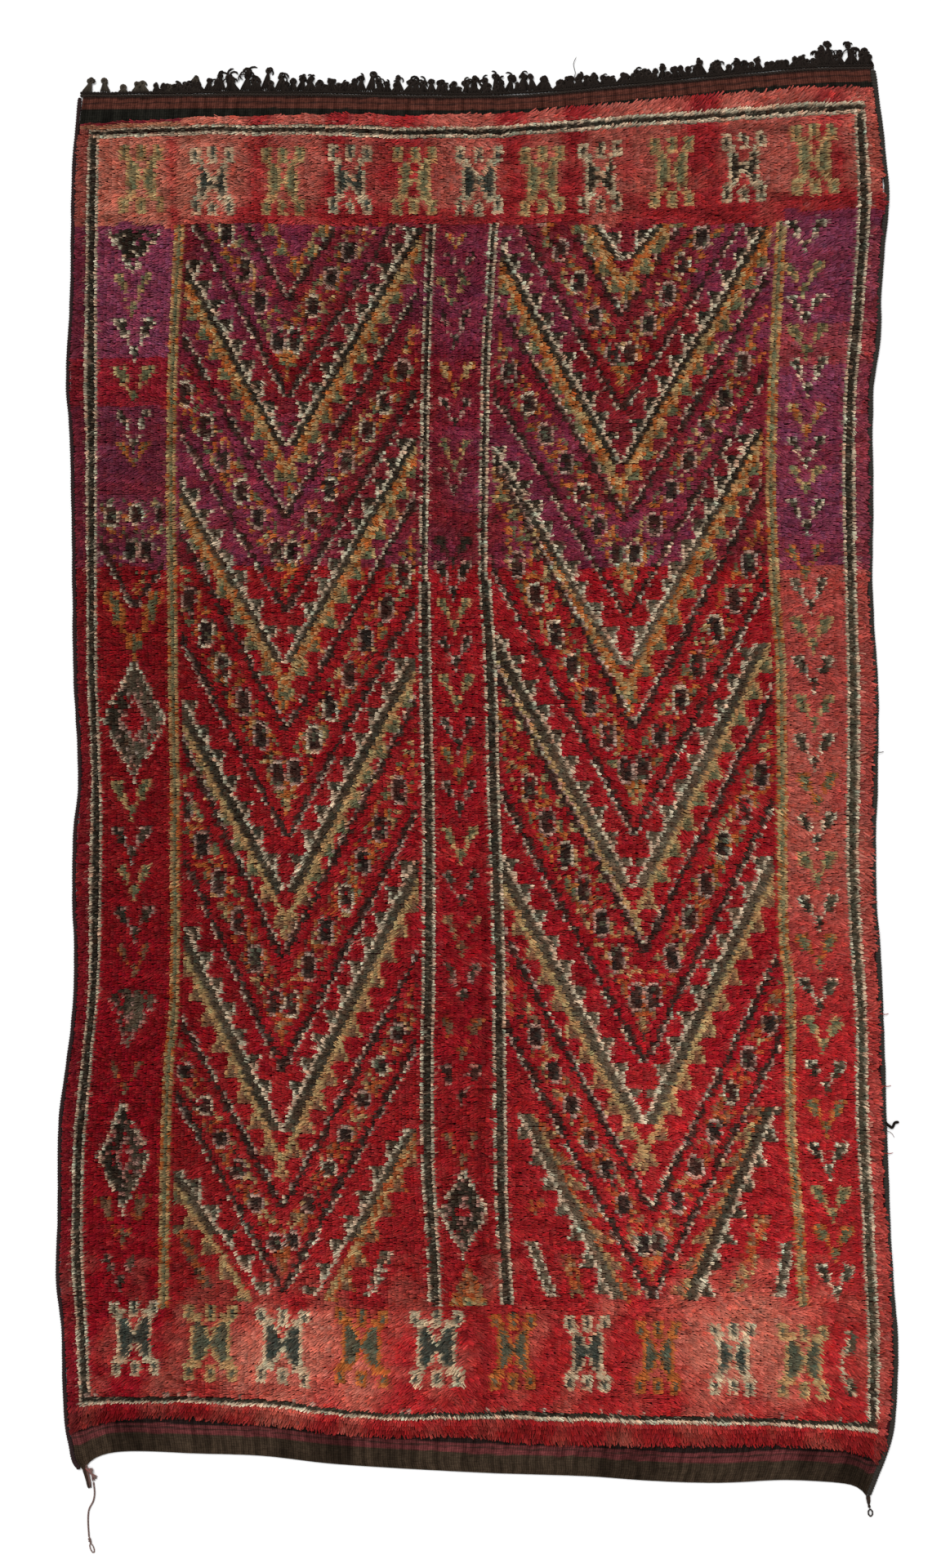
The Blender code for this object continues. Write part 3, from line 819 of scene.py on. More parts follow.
RIGHT_FIGURES = (
    (0.7, 1.157, 0.092, 0.07, *IVORY), (0.7, 1.069, 0.082, 0.078, *LEAF),
    (0.7, 1.008, 0.08, 0.066, *IVORY), (0.705, 0.934, 0.086, 0.08, *LEAF),
    (0.703, 0.856, 0.09, 0.085, *IVORY), (0.702, 0.768, 0.086, 0.08, KHAKI, ORANGE),
    (0.7, 0.693, 0.084, 0.072, *IVORY), (0.7, 0.64, 0.078, 0.06, *LEAF),
    (0.7, 0.558, 0.084, 0.08, *IVORY), (0.7, 0.462, 0.084, 0.08, *EMBER),
    (0.708, 0.387, 0.084, 0.08, *IVORY), (0.712, 0.306, 0.084, 0.08, *LEAF),
    (0.715, 0.222, 0.084, 0.08, *IVORY), (0.717, 0.14, 0.084, 0.08, *LEAF),
    (0.72, 0.056, 0.084, 0.082, *IVORY), (0.72, -0.028, 0.084, 0.082, *EMBER),
    (0.72, -0.114, 0.084, 0.084, *IVORY), (0.722, -0.2, 0.084, 0.084, *LEAF),
    (0.724, -0.286, 0.084, 0.084, *IVORY), (0.726, -0.374, 0.084, 0.084, *EMBER),
    (0.73, -0.462, 0.086, 0.086, *IVORY), (0.736, -0.55, 0.086, 0.086, *LEAF),
    (0.74, -0.64, 0.088, 0.086, *IVORY), (0.744, -0.73, 0.088, 0.086, *EMBER),
    (0.75, -0.82, 0.088, 0.086, *IVORY), (0.755, -0.91, 0.09, 0.088, *LEAF),
    (0.76, -0.994, 0.09, 0.08, *EMBER), (0.766, -1.078, 0.09, 0.08, *IVORY),
)


def draw_lozenge(centre, half_width, half_height, hollow):
    """A dark lozenge speckled with cream, cream dots along its rim and round its open middle."""
    across, up = np.abs(X - centre[0]) / half_width, np.abs(Y - centre[1]) / half_height
    away = across + up
    knot = 1.3 * COLUMN_PITCH / half_width
    body = (away < 1) & (away > hollow)
    chance = rng.random(X.shape)
    put(body, DARK)
    put(body & (chance < 0.16), ECRU)
    put(body & (chance > 0.96), GROUND)
    put((away >= 1) & (away < 1 + knot) & some(0.8), CREAM)
    put((away <= hollow) & (away > hollow - knot) & some(0.75), ECRU)


def draw_columns():
    draw_lozenge((-0.733, 0.128), 0.062, 0.118, 0.5)
    draw_lozenge((-0.755, -0.807), 0.05, 0.108, 0.42)
    draw_lozenge((-0.03, -0.925), 0.046, 0.082, 0.38)
    for chart, x, y, width, height, outline, filling in LEFT_FIGURES:
        pale = outline == CREAM and y < 0.1
        keep = 0.88 if y > -0.36 else 0.5
        draw_figure(chart, (x, y), (width, height), ECRU if pale else outline, filling, keep)
    for x, y, width, height, outline, filling in CENTRE_FIGURES + RIGHT_FIGURES:
        keep = 0.7 if x < 0.2 and y > 0.6 else 0.92
        if x < 0.2 and y < -0.22:
            keep = 0.52
        if outline == CREAM and x < 0.2:
            outline = ECRU
        draw_figure(SMALL_V, (x, y), (width, height), outline, filling, keep)
    wedge = (np.abs(X + 0.018) < 0.42 * (-1.03 - Y)) & (Y < -1.03) & (Y > BAND_BELOW)
    mottled(wedge, [ORANGE, KHAKI, GREEN], [0.5, 0.3, 0.2])
    draw_left_medallion()


def draw_left_medallion():
    """A piece of a field's pattern set into the left column."""
    column = (guide(1) > 2) & (guide(2) < -2)
    cut = ((-0.816, 0.523), (-0.733, 0.366), (-0.664, 0.462), 1.0)
    height = arm_distance(cut)[0]
    mask = column & (Y < 0.62) & (Y > 0.3)
    speckle = mask & (height > 0.02) & (Y < 0.6) & some(0.24)
    mottled(speckle, [ORANGE, GREEN, KHAKI, BROWN], [0.34, 0.28, 0.16, 0.22])
    draw_thin_line(cut, 0.0, mask, True)
    places = ((-0.783, 0.563), (-0.673, 0.566), (-0.743, 0.488), (-0.708, 0.488), (-0.729, 0.566))
    for place in places:
        draw_eye(place, mask, 0.052, place[1] > 0.5)


draw_fields()
draw_columns()
draw_towers()
IN_BANDS = (Y > BAND_ABOVE) | (Y < BAND_BELOW)
SOLID |= (CHART == CREAM) & IN_BANDS
PALE = SOLID & IN_BANDS
draw_lines()
SOLID &= (np.abs(ROW - LOW_ROW) > 1) & (np.abs(ROW - HIGH_ROW) > 1)


# ---------------------------------------------------------------- dye lots of the ground, with painted light and shade

CENTRE_X = -0.03
PLUM_FROM = 0.455
TOP_BAND_FROM = 1.186

# Middle and width of the crimson patches between the towers of the top band.
CRIMSON_PATCHES = (
    (-0.65, 0.02), (-0.47, 0.035), (-0.3, 0.03), (-0.16, 0.07), (0.07, 0.04), (0.2, 0.03),
)

LEFT_LINE = curve_at(LEFT_GREEN, Y)
IN_LEFT, IN_RIGHT = X < LEFT_LINE, X > curve_at(RIGHT_GREEN, Y)
BROAD, FINE = wave_noise(X, Y, 0.1, 3), wave_noise(X, Y, 0.03, 4)
STREAKS = wave_noise(0.15 * X, Y, 0.016, 5)  # they run along the rows
UPPER = Y > PLUM_FROM + 0.004 * FINE
DYE = np.empty(X.shape + (3,))


def lay(mask, name):
    DYE[mask] = YARNS[name]


def mix(mask, name, share):
    """Blends a share of a yarn into the ground's colour."""
    share = np.broadcast_to(np.asarray(share, float), X.shape)[mask][:, None]
    DYE[mask] = DYE[mask] * (1 - share) + np.array(YARNS[name]) * share


def dye_upper_part():
    """Maroon and plum lots, with redder rows among them, plum at both sides."""
    lay(UPPER, "maroon")
    mix(UPPER, "plum", 0.55 * ramp(0.5 + 0.7 * BROAD))
    mix(UPPER, "red", 0.25 * ramp(0.6 * STREAKS))
    mix(UPPER, "deep", 0.65 * hill(Y - 0.86 + 0.02 * BROAD, 0.085))
    mix(UPPER, "red", 0.3 * hill(Y - 0.84, 0.06) * ramp(0.5 + FINE))
    side = UPPER & (IN_LEFT | IN_RIGHT)
    lay(side, "plum")
    mix(side, "salmon", 0.06)
    mix(side & IN_LEFT & (Y < 0.8), "maroon", 0.3 + 0.25 * ramp(0.5 + BROAD))
    mix(side, "maroon", (0.1 + 0.35 * (IN_RIGHT | (Y < 0.8))) * ramp(0.4 + 0.8 * STREAKS))
    mix(IN_LEFT & (Y < 0.9) & (Y > 0.795), "red", 0.8)
    mix(IN_RIGHT & (Y < 0.975) & (Y > 0.885), "rose", 0.55)


def dye_lower_part():
    """Reds, crimson at the lower left and rose and salmon down the right side."""
    lower = ~UPPER
    mix(lower & IN_LEFT & (Y < -0.34), "crimson", 0.55)
    mix(lower & (X > LEFT_LINE) & ~IN_RIGHT & (Y < -0.62), "brick", 0.35)
    fade = ramp((Y + 0.52 - 0.05 * BROAD) / 0.34)
    mix(lower & IN_RIGHT, "brick", 0.45)
    mix(lower & IN_RIGHT, "rose", (0.62 + 0.2 * np.clip(STREAKS, -1, 1)) * fade)
    mix(lower & IN_RIGHT, "salmon", (0.22 + 0.3 * ramp(0.3 + BROAD)) * fade)
    mix(lower & ~IN_RIGHT & (Y > -0.3), "brick", 0.25 * ramp(0.5 + STREAKS))


def dye_top_band():
    """Salmon, with crimson patches between the towers and along the band's lower rows."""
    top = Y > TOP_BAND_FROM + 0.03 * IN_RIGHT + 0.004 * FINE
    lay(top, "salmon")
    hot = 0.3 * FINE + 0.15 * BROAD - 0.18 + 0.2 * X
    for middle, width in CRIMSON_PATCHES:
        hot = hot + 1.1 * hill(X - middle, 1.15 * width)
    hot = hot + 0.9 * hill(X - 0.47, 0.1) + 0.8 * hill(X - 0.76, 0.06)
    hot = hot + 0.7 * ramp((1.235 + 0.03 * (X > 0.1) - Y) / 0.02) * ramp((X + 0.72) / 0.1)
    mix(top, "rose", 0.5 * ramp((X + 0.66) / 0.25))
    mix(top, "crimson", 0.8 * ramp(hot))


def dye_bottom_band():
    """Brick red, with one pale patch left of the middle and one at the right."""
    mix((Y < -1.12 + 0.004 * FINE) & (X > -0.62), "brick", 0.4)
    pale_left = np.exp(-(((X + 0.4) / 0.21) ** 2) - ((Y + 1.245) / 0.12) ** 2)
    pale_right = np.exp(-(((X - 0.56) / 0.15) ** 2) - ((Y + 1.2) / 0.12) ** 2)
    pale = np.clip(1.0 * pale_left + 1.4 * pale_right + 0.25 * FINE, 0, 1)
    mix(Y < -1.02, "salmon", 0.85 * pale)


def dye_margins():
    """The strips outside the border line."""
    margin = (COLUMN < COLUMN_STARTS[1] - 1) | (COLUMN > COLUMN_STARTS[6] + 1)
    mix(margin & IN_LEFT, "maroon", 0.5)
    mix(margin & IN_RIGHT & (Y < 1.18), "rose", 0.32)
    mix(margin & IN_RIGHT & (Y < 0.45), "salmon", 0.1 + 0.12 * ramp(0.5 + BROAD))
    above_border = (ROW > HIGH_ROW + 1) & (X < -0.66 + 0.04 * FINE)
    DYE[above_border & (ROW < HIGH_ROW + 4)] = np.array(YARNS["salmon"]) * [0.85, 1.2, 1.0]
    lay(above_border & (ROW >= HIGH_ROW + 4), "maroon")


def ground_colours():
    """The ground's colour at every knot, from the dye lots and their patches, with painted light
    and shade over it.
    """
    everywhere = np.ones(X.shape, bool)
    lay(everywhere, "red")
    mix(everywhere, "deep", 0.35 * ramp(0.5 + 0.6 * FINE))
    dye_upper_part()
    dye_lower_part()
    dye_top_band()
    dye_bottom_band()
    dye_margins()
    mix(everywhere, "salmon", 0.1 * rng.random(X.shape) ** 2 * (Y < 1.19))
    # Painted light and shade over the ground: the broad painted light, painted shade along a crease
    # in the lower half, and darker below the bottom border line.
    below = ramp((curve_at(BOTTOM_BORDER, X) - 0.012 - Y) / 0.02)
    crease_shade = hill(X - 0.01, 0.012) * (Y < -0.25)
    shade = painted_light_and_shade() * (1 - 0.46 * below) * (1 - 0.3 * crease_shade)
    return DYE * shade[..., None]


def painted_light_and_shade():
    """Painted light and shade: the pile is painted lighter towards the right, most of all in the
    lower half.
    """
    places = [-0.8, -0.62, -0.4, -0.04, 0.35, 0.72, 0.86]  # x, with the factor there in three zones
    lower = np.interp(X, places, [0.76, 0.76, 1.22, 0.98, 1.52, 1.5, 1.2])
    middle = np.interp(X, places, [0.76, 0.78, 1.05, 1.08, 1.2, 1.12, 0.96])
    upper = np.interp(X, places, [0.95, 1.02, 1.2, 1.0, 1.19, 1.12, 0.85])
    low, high = ramp((-0.15 - Y) / 0.5), ramp((Y - 0.4) / 0.12)
    upper = upper * (1 + 0.25 * ramp((Y - 0.88) / 0.04) * (X < -0.65))
    upper = upper * (1 - 0.12 * (Y < 0.8) * (X < -0.65))
    upper = np.where(COLUMN < COLUMN_STARTS[1] - 1, 0.76, upper)
    band = 1 - 0.75 * ramp((Y - 1.17) / 0.04)
    field = (middle + (lower - middle) * low) * (1 - high) + upper * high
    ends = 1 - 0.1 * ramp((Y - 1.17) / 0.04) * ramp((X + 0.2) / 0.16)
    ends = ends + ramp((-1.13 - Y) / 0.03) * (0.2 - 0.33 * ramp((X + 0.2) / 0.5))
    return ends * (1 + 0.28 * ramp((Y - 1.39) / 0.02)) * (1 + band * (field - 1))


def knot_colours():
    colour = ground_colours()
    drawn = CHART != GROUND
    ground = colour.copy()
    # Drawn knots take part of the painted light and shade.
    colour[drawn] = PALETTE[CHART[drawn]] * (0.45 + 0.55 * painted_light_and_shade()[drawn])[:, None]
    from_centre = np.abs(X - CENTRE_X)
    low_part = (Y < -0.25) & (Y > -1.11)
    bright_yarn = (CHART == ORANGE) | (CHART == GREEN)
    muted = bright_yarn & low_part & (X > -0.64) & (X < 0.64)
    column = (X < -0.69) | (from_centre < 0.065)
    muted |= (bright_yarn | (CHART == KHAKI) | (CHART == ECRU)) & low_part & column
    colour[muted] = 0.68 * colour[muted] + 0.32 * ground[muted]
    colour[PALE] *= [0.86, 0.82, 0.74]
    tone = 1 + 0.19 * rng.standard_normal(X.shape)
    tone *= 1 + 0.07 * wave_noise(X, Y, 0.006, 8)
    tone *= 1 + 0.16 * wave_noise(0.15 * X, Y, 0.007, 10) * (1 - 0.5 * ramp((0.5 - Y) / 0.2))
    # Painted light: dark knots are lifted with a warm brown, in patches, most towards the right and
    # in the lower part and less in the centre column; those of the right column a little more.
    paler_dark_patches = (0.35 + 0.65 * ramp(0.6 + 0.5 * wave_noise(X, Y, 0.14, 9))) * (CHART == DARK)
    inner = (Y > -1.11) & (from_centre < 0.72)
    amount = 0.014 + (0.042 + 0.035 * ramp((X - 0.05) / 0.3)) * ramp((0.75 - Y) / 0.4) * inner
    amount = amount + 0.03 * ramp((-0.55 - Y) / 0.3) * ramp((X - 0.0) / 0.15) * inner
    amount = amount * (1 - 0.6 * (from_centre < 0.1))
    colour += (amount * paler_dark_patches)[..., None] * np.array([1.0, 0.68, 0.42])
    right_line = (CHART == DARK) & (X > 0.74) & (Y < 0.4) & (Y > -1.3)
    colour += (0.03 * right_line)[..., None] * np.array([1.0, 0.85, 0.5])
    colour *= np.clip(tone, 0.55, 1.6)[..., None]
    warmth = 0.09 * rng.standard_normal(X.shape)
    colour *= np.stack([1 + 0.5 * warmth, 1 - warmth, 1 - 1.3 * warmth], axis=-1)
    return np.clip(colour, 0.004, 0.9)


# ---------------------------------------------------------------- cut pile


def shagginess(x, y):
    """How long the visible ends of the pile are: 0 where it stands and is worn, 1 at the edges."""
    side = (0.3 + 0.1 * ramp((y + 0.4) / 0.3)) * ramp(1 - (x - body_left(y)) / 0.05)
    uneven = 0.55 + 0.25 * wave_noise(0 * x, y, 0.06, 17)
    side = side + uneven * ramp(1 - (body_right(y) - x) / 0.055)
    top_gap, bottom_gap = curve_at(PILE_TOP, x) - y, y - curve_at(PILE_BOTTOM, x)
    ends = (0.25 + 0.25 * ramp((x + 0.1) / 0.2)) * ramp(1 - top_gap / 0.03)
    ends += 0.8 * ramp(1 - bottom_gap / 0.035)
    ends += 0.14 * ramp((y - 1.15) / 0.08) + 0.12 * ramp((-1.1 - y) / 0.1)
    right = 0.35 * ramp((x - 0.6) / 0.12) * ramp((0.62 - y) / 0.3)
    line = np.abs(x - curve_at(LEFT_BORDER, y)) < 0.015
    line |= np.abs(x - curve_at(RIGHT_BORDER, y)) < 0.015
    shag = np.clip(np.maximum(side, ends) + right + 0.12 * wave_noise(x, y, 0.12, 13), 0, 1)
    shag = np.where(line, 0.4 * shag, shag)
    line = np.abs(y - curve_at(TOP_BORDER, x)) < 0.016
    line |= np.abs(y - curve_at(BOTTOM_BORDER, x) + 0.004) < 0.018
    return np.where(line, 0.15 * shag, shag)


def lean_of_pile(x, y):
    """Angle of the direction in which the pile lies."""
    across = np.where(x + 0.12 + 0.1 * wave_noise(x, y, 0.22, 11) < 0, -1.0, 1.0)
    along = 0.16 * wave_noise(x, y, 0.1, 12) - 0.06
    up = ramp((y - 1.405) / 0.03) + 0.3 * ramp((y - 1.1) / 0.15) * ramp((x + 0.1) / 0.5)
    down = 0.3 * ramp((-1.1 - y) / 0.1) + 0.7 * ramp((curve_at(BOTTOM_BORDER, x) - y) / 0.02)
    across = across * (1 - 0.55 * up) * (1 - 0.75 * down) + 0.35 * up
    along = along + 0.55 * up - 1.0 * down
    edge_left = ramp(1 - (x - body_left(y)) / 0.06)
    edge_right = ramp(1 - (body_right(y) - x) / 0.09)
    across = across - 0.5 * edge_left + 0.9 * edge_right
    return np.arctan2(along - 0.15 * edge_left - 0.25 * edge_right, across)


EDGE_PILE, INNER_PILE = 0.01, 0.0152  # height of the pile at the sides and inside


def pile_height(x, y):
    inward = np.minimum(x - body_left(y), body_right(y) - x)
    top_gap = curve_at(PILE_TOP, x) + 0.01 - y
    bottom_gap = y - curve_at(PILE_BOTTOM, x) + 0.01
    full = EDGE_PILE + (INNER_PILE - EDGE_PILE) * ramp(inward / 0.03)
    return full * (0.72 + 0.28 * ramp(np.minimum(top_gap, bottom_gap) / 0.03))


STRANDS_PER_KNOT = 3
OUTLINES = ((CHART == CREAM) | (CHART == ECRU)) & ~SOLID


def strand_points(rows, seed):
    """Five points of every cut end: a strip of yarn, rising from its knot and lying over."""
    local = np.random.default_rng(seed)
    tilting = np.random.default_rng(seed + 1000)
    x, y = X[rows].ravel(), Y[rows].ravel()
    cell_x = np.gradient(X, axis=1)[rows].ravel()
    cell_y = np.gradient(Y, axis=0)[rows].ravel()
    n = x.size
    shag = shagginess(x, y)
    thin = OUTLINES[rows].ravel()
    angle = lean_of_pile(x, y)
    angle += 0.22 * wave_noise(0.35 * x, y, 0.01, 14) + 0.1 * local.standard_normal(n)
    tall = pile_height(x, y) * (1 + 0.05 * wave_noise(0.3 * x, y, 0.009, 15))
    x = x + 0.0005 * local.standard_normal(n)
    y = y + 0.0005 * local.standard_normal(n) + 0.0013 * wave_noise(x, 0.4 * y, 0.02, 16)
    pieces = []
    for end in range(STRANDS_PER_KNOT):
        turn = angle + (0.12 + 0.14 * shag) * local.standard_normal(n)
        dx, dy = np.cos(turn), np.sin(turn)
        px, py = -dy, dx
        across_size = np.abs(px) * cell_x + np.abs(py) * cell_y
        along_size = np.abs(dx) * cell_x + np.abs(dy) * cell_y
        place = (end + 0.5) / STRANDS_PER_KNOT - 0.5
        share = 0.84 + 0.16 * shag
        off = across_size * share * (place + 0.07 * local.standard_normal(n))
        cx, cy = x + px * off, y + py * off
        length = along_size * (1 + 0.12 * local.standard_normal(n))
        half = share * across_size / STRANDS_PER_KNOT * (0.6 + 0.08 * local.standard_normal(n))
        reach = 0.56 + 0.95 * shag * (1 + 0.25 * local.standard_normal(n))
        reach = np.where(thin, 0.78 * reach, reach)
        low_end = curve_at(PILE_BOTTOM, cx) + 0.004 - 0.007 * local.random(n)
        past = np.maximum(low_end - (cy + dy * length * reach), 0) / np.maximum(-dy, 0.2)
        tip_x = cx + dx * length * reach
        spare = np.where(cx > 0, 0.01, 0.0045) * local.random(n) ** 3
        hang = 0.0015 + 0.0055 * wave_noise(0 * cy, cy, 0.035, 18)
        hang -= 0.0045 * wave_noise(0 * cy, cy, 0.007, 19)
        past_right = tip_x - body_right(cy) - spare + 0.002 - hang
        wide = np.maximum(past_right, body_left(cy) - spare - tip_x)
        past = np.maximum(past, np.maximum(wide, 0) / np.maximum(np.abs(dx), 0.2))
        reach = np.maximum(reach - past / length, 0.15)
        back = np.where(thin, 0.46, 0.52 + 0.25 * shag)
        high = tall * (1 + 0.06 * local.standard_normal(n))
        low = high * (0.84 - 0.18 * shag)
        tilt = 0.35 * half * (2 * tilting.random(n) - 1)

        def at(along, side, z):
            px_, py_ = cx + dx * along + px * side, cy + dy * along + py * side
            return np.stack([px_, py_, z], axis=-1)

        tip = 0.55 * half
        points = [
            at(-length * (back + 0.12), 0.0, np.full(n, ROOT_Z)),
            at(-length * back, half, low + tilt),
            at(-length * back, -half, low - tilt),
            at(length * reach, tip, high),
            at(length * reach, -tip, high - 0.0007),
        ]
        pieces.append(np.stack(points, axis=1))
    return np.concatenate(pieces), np.concatenate([shag] * STRANDS_PER_KNOT)


STRAND_FACES = np.array([[0, 1, 2], [1, 3, 2], [2, 3, 4]])[:, ::-1]
STRAND_UV = np.array([[0.5, 0.0], [0.0, 0.4], [1.0, 0.4], [0.25, 1.0], [0.75, 1.0]])
# Painted shade: each strand darker towards its root and on one side, with a painted highlight at
# its tip.
STRAND_SHADE = np.array([0.22, 0.74, 0.68, 1.12, 1.04])


def neighbours_mixed(colour, seed):
    """Each strand takes a little of the colour of a knot beside its own; pale outlines keep
    two ends of three and their third end is painted with shade, the darkest colour beside it,
    so that they look dotted."""
    local = np.random.default_rng(seed)
    darkest = colour
    for axis in (0, 1):
        for way in (-1, 1):
            darkest = np.minimum(darkest, np.roll(colour, way, axis=axis))
    # Painted shade: the darkest of the four knots around, laid over one end of three of pale
    # outlines and, a little, of khaki and solid knots.
    share = 0.65 * OUTLINES[..., None] + 0.2 * ((CHART == KHAKI) | SOLID)[..., None]
    gap = (1 - share) * colour + share * darkest
    pieces = []
    for end in range(STRANDS_PER_KNOT):
        own = gap if end == 0 else colour
        share = (0.3 * local.random(X.shape) ** 2)[..., None]
        way = local.random(X.shape)[..., None]
        beside = np.where(way < 0.35, np.roll(colour, 1, axis=1), np.roll(colour, -1, axis=1))
        beside = np.where(way > 0.7, np.roll(colour, 1, axis=0), beside)
        pieces.append(own * (1 - share) + beside * share)
    return pieces


def add_object(name, data):
    obj = bpy.data.objects.new(name, data)
    bpy.context.scene.collection.objects.link(obj)
    return obj


def mesh_from_arrays(name, points, triangles, colours, uvs=None, smooth=True):
    """A mesh object from arrays of points and triangles, with point colours and a UV a corner."""
    points[:, 2] = np.maximum(points[:, 2], 0.0)  # the floor
    mesh = bpy.data.meshes.new(name)
    mesh.vertices.add(len(points))
    mesh.vertices.foreach_set("co", points.astype(np.float32).ravel())
    mesh.loops.add(triangles.size)
    mesh.loops.foreach_set("vertex_index", triangles.astype(np.int32).ravel())
    mesh.polygons.add(len(triangles))
    mesh.polygons.foreach_set("loop_start", np.arange(0, triangles.size, 3, dtype=np.int32))
    mesh.polygons.foreach_set("use_smooth", np.full(len(triangles), smooth))
    mesh.update(calc_edges=True)
    layer = mesh.color_attributes.new("yarn", "FLOAT_COLOR", "POINT")
    full = np.ones((len(points), 4), np.float32)
    full[:, :3] = colours
    layer.data.foreach_set("color", full.ravel())
    if uvs is not None:
        layer = mesh.uv_layers.new(name="OFBake")
        layer.data.foreach_set("uv", uvs[triangles.ravel()].astype(np.float32).ravel())
    return add_object(name, mesh)


def finish(obj, material, node=None):
    """Gives a piece its material, its body and the CAD node that it replaces."""
    obj.data.materials.append(material)
    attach(obj, "root")
    if node:
        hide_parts(node)
    return obj


def strand_uvs(count):
    side = int(np.ceil(np.sqrt(count)))
    cell = np.arange(count)
    corner = np.stack([cell % side, cell // side], axis=-1)[:, None, :]
    return ((corner + 0.1 + 0.8 * STRAND_UV[None]) / side).reshape(-1, 2)


def add_node(mat, kind, values=(), **settings):
    """A new shader node: the values go to its inputs, the settings to the node itself."""
    node = mat.node_tree.nodes.new("ShaderNode" + kind)
    for key, value in settings.items():
        setattr(node, key, value)
    for key, value in dict(values).items():
        node.inputs[key].default_value = value
    return node


def join(mat, *links):
    """Links nodes: each link is a node, its output, the next node and its input."""
    for source, output, target, entry in links:
        mat.node_tree.links.new(source.outputs[output], target.inputs[entry])


def node_of(mat, kind):
    return next(node for node in mat.node_tree.nodes if node.type == kind)


def map_range(mat, low, high, to_low, to_high):
    ends = {"From Min": low, "From Max": high, "To Min": to_low, "To Max": to_high}
    return add_node(mat, "MapRange", ends)


def yarn_material(name, streak=0.22):
    """Wool: the yarn's own colour with fine streaks and a fibrous bump."""
    mat = bpy.data.materials.new(name)
    mat.use_nodes = True
    shader = mat.node_tree.nodes["Principled BSDF"]
    shader.inputs["Roughness"].default_value = 0.95
    shader.inputs["Specular IOR Level"].default_value = 0.02
    yarn = add_node(mat, "Attribute", attribute_name="yarn")
    place = add_node(mat, "TexCoord")
    noise = add_node(mat, "TexNoise", {"Scale": 620.0, "Detail": 2.0})
    spread = map_range(mat, 0.25, 0.75, 1.0 - streak, 1.0 + streak)
    tint = add_node(mat, "VectorMath", operation="SCALE")
    bump = add_node(mat, "Bump", {"Strength": 0.35, "Distance": 0.0006})
    join(
        mat,
        (place, "Object", noise, "Vector"),
        (noise, "Fac", spread, "Value"),
        (yarn, "Color", tint, 0),
        (spread, "Result", tint, "Scale"),
        (tint, "Vector", shader, "Base Color"),
        (noise, "Fac", bump, "Height"),
        (bump, "Normal", shader, "Normal"),
    )
    return mat


PILE_BANDS = 6


def make_pile(material):
    """All the cut pile, in bands of rows."""
    mixed = neighbours_mixed(knot_colours(), 90)
    pieces = []
    edges = np.linspace(0, ROWS, PILE_BANDS + 1).astype(int)
    for band in range(PILE_BANDS):
        rows = slice(edges[band], edges[band + 1])
        tint = np.concatenate([colour[rows].reshape(-1, 3) for colour in mixed])
        points, shag = strand_points(rows, 100 + band)
        local = np.random.default_rng(500 + band)
        count = len(points)
        tone = np.clip(1 + (0.12 + 0.1 * shag) * local.standard_normal(count), 0.5, 1.6)
        faces = (np.arange(count)[:, None, None] * 5 + STRAND_FACES[None]).reshape(-1, 3)
        # painted shade and highlight along each strand
        colours = (tint * tone[:, None])[:, None, :] * STRAND_SHADE[None, :, None]
        obj = mesh_from_arrays(
            f"pile_rows_{band + 1}",
            points.reshape(-1, 3),
            faces,
            colours.reshape(-1, 3),
            strand_uvs(count),
        )
        pieces.append(finish(obj, material))
    return pieces


# ---------------------------------------------------------------- ground and flat-woven ends


# Stripes of the flat-woven ends: distance from the edge at which each begins and ends, and
# its colour. Later stripes lie over earlier ones.
BOTTOM_STRIPES = (
    (-1.0, 0.1, (0.014, 0.008, 0.007)),
    (0.041, 0.062, (0.082, 0.02, 0.02)),
    (0.052, 0.055, (0.032, 0.013, 0.011)),
    (-1.0, 0.041, (0.029, 0.019, 0.012)),
)
TOP_STRIPES = (
    (-1.0, 0.06, (0.0085, 0.008, 0.0062)),
    (-1.0, 0.026, (0.06, 0.019, 0.013)),
    (0.012, 0.015, (0.024, 0.01, 0.008)),
    (-1.0, 0.004, (0.02, 0.009, 0.007)),
)
BARE_WEAVE = (0.04, 0.008, 0.009)
BOTTOM_FLAT, TOP_FLAT, FLAT_STEP = 0.11, 0.07, 0.0025


def stripe_colours(x, y, from_bottom, from_top):
    """Colours of the ground weave: stripes at both ends, plain warp and weft under the pile."""
    colour = np.tile(np.array(BARE_WEAVE), x.shape + (1,))
    rough = 0.001 * wave_noise(x, y, 0.012, 21)
    for distance, stripes in ((from_bottom, BOTTOM_STRIPES), (from_top, TOP_STRIPES)):
        for begin, end, tint in stripes:
            colour[(distance + rough < end) & (distance + rough > begin)] = tint
    patch = ramp(1.2 * wave_noise(x, y * 0.2, 0.05, 22) - 0.1)
    colour *= (1 - 0.5 * patch * (from_bottom < 0.066))[..., None]
    colour *= (1 + 0.1 * rng.standard_normal(x.shape))[..., None]
    return np.clip(colour, 0.003, 1)


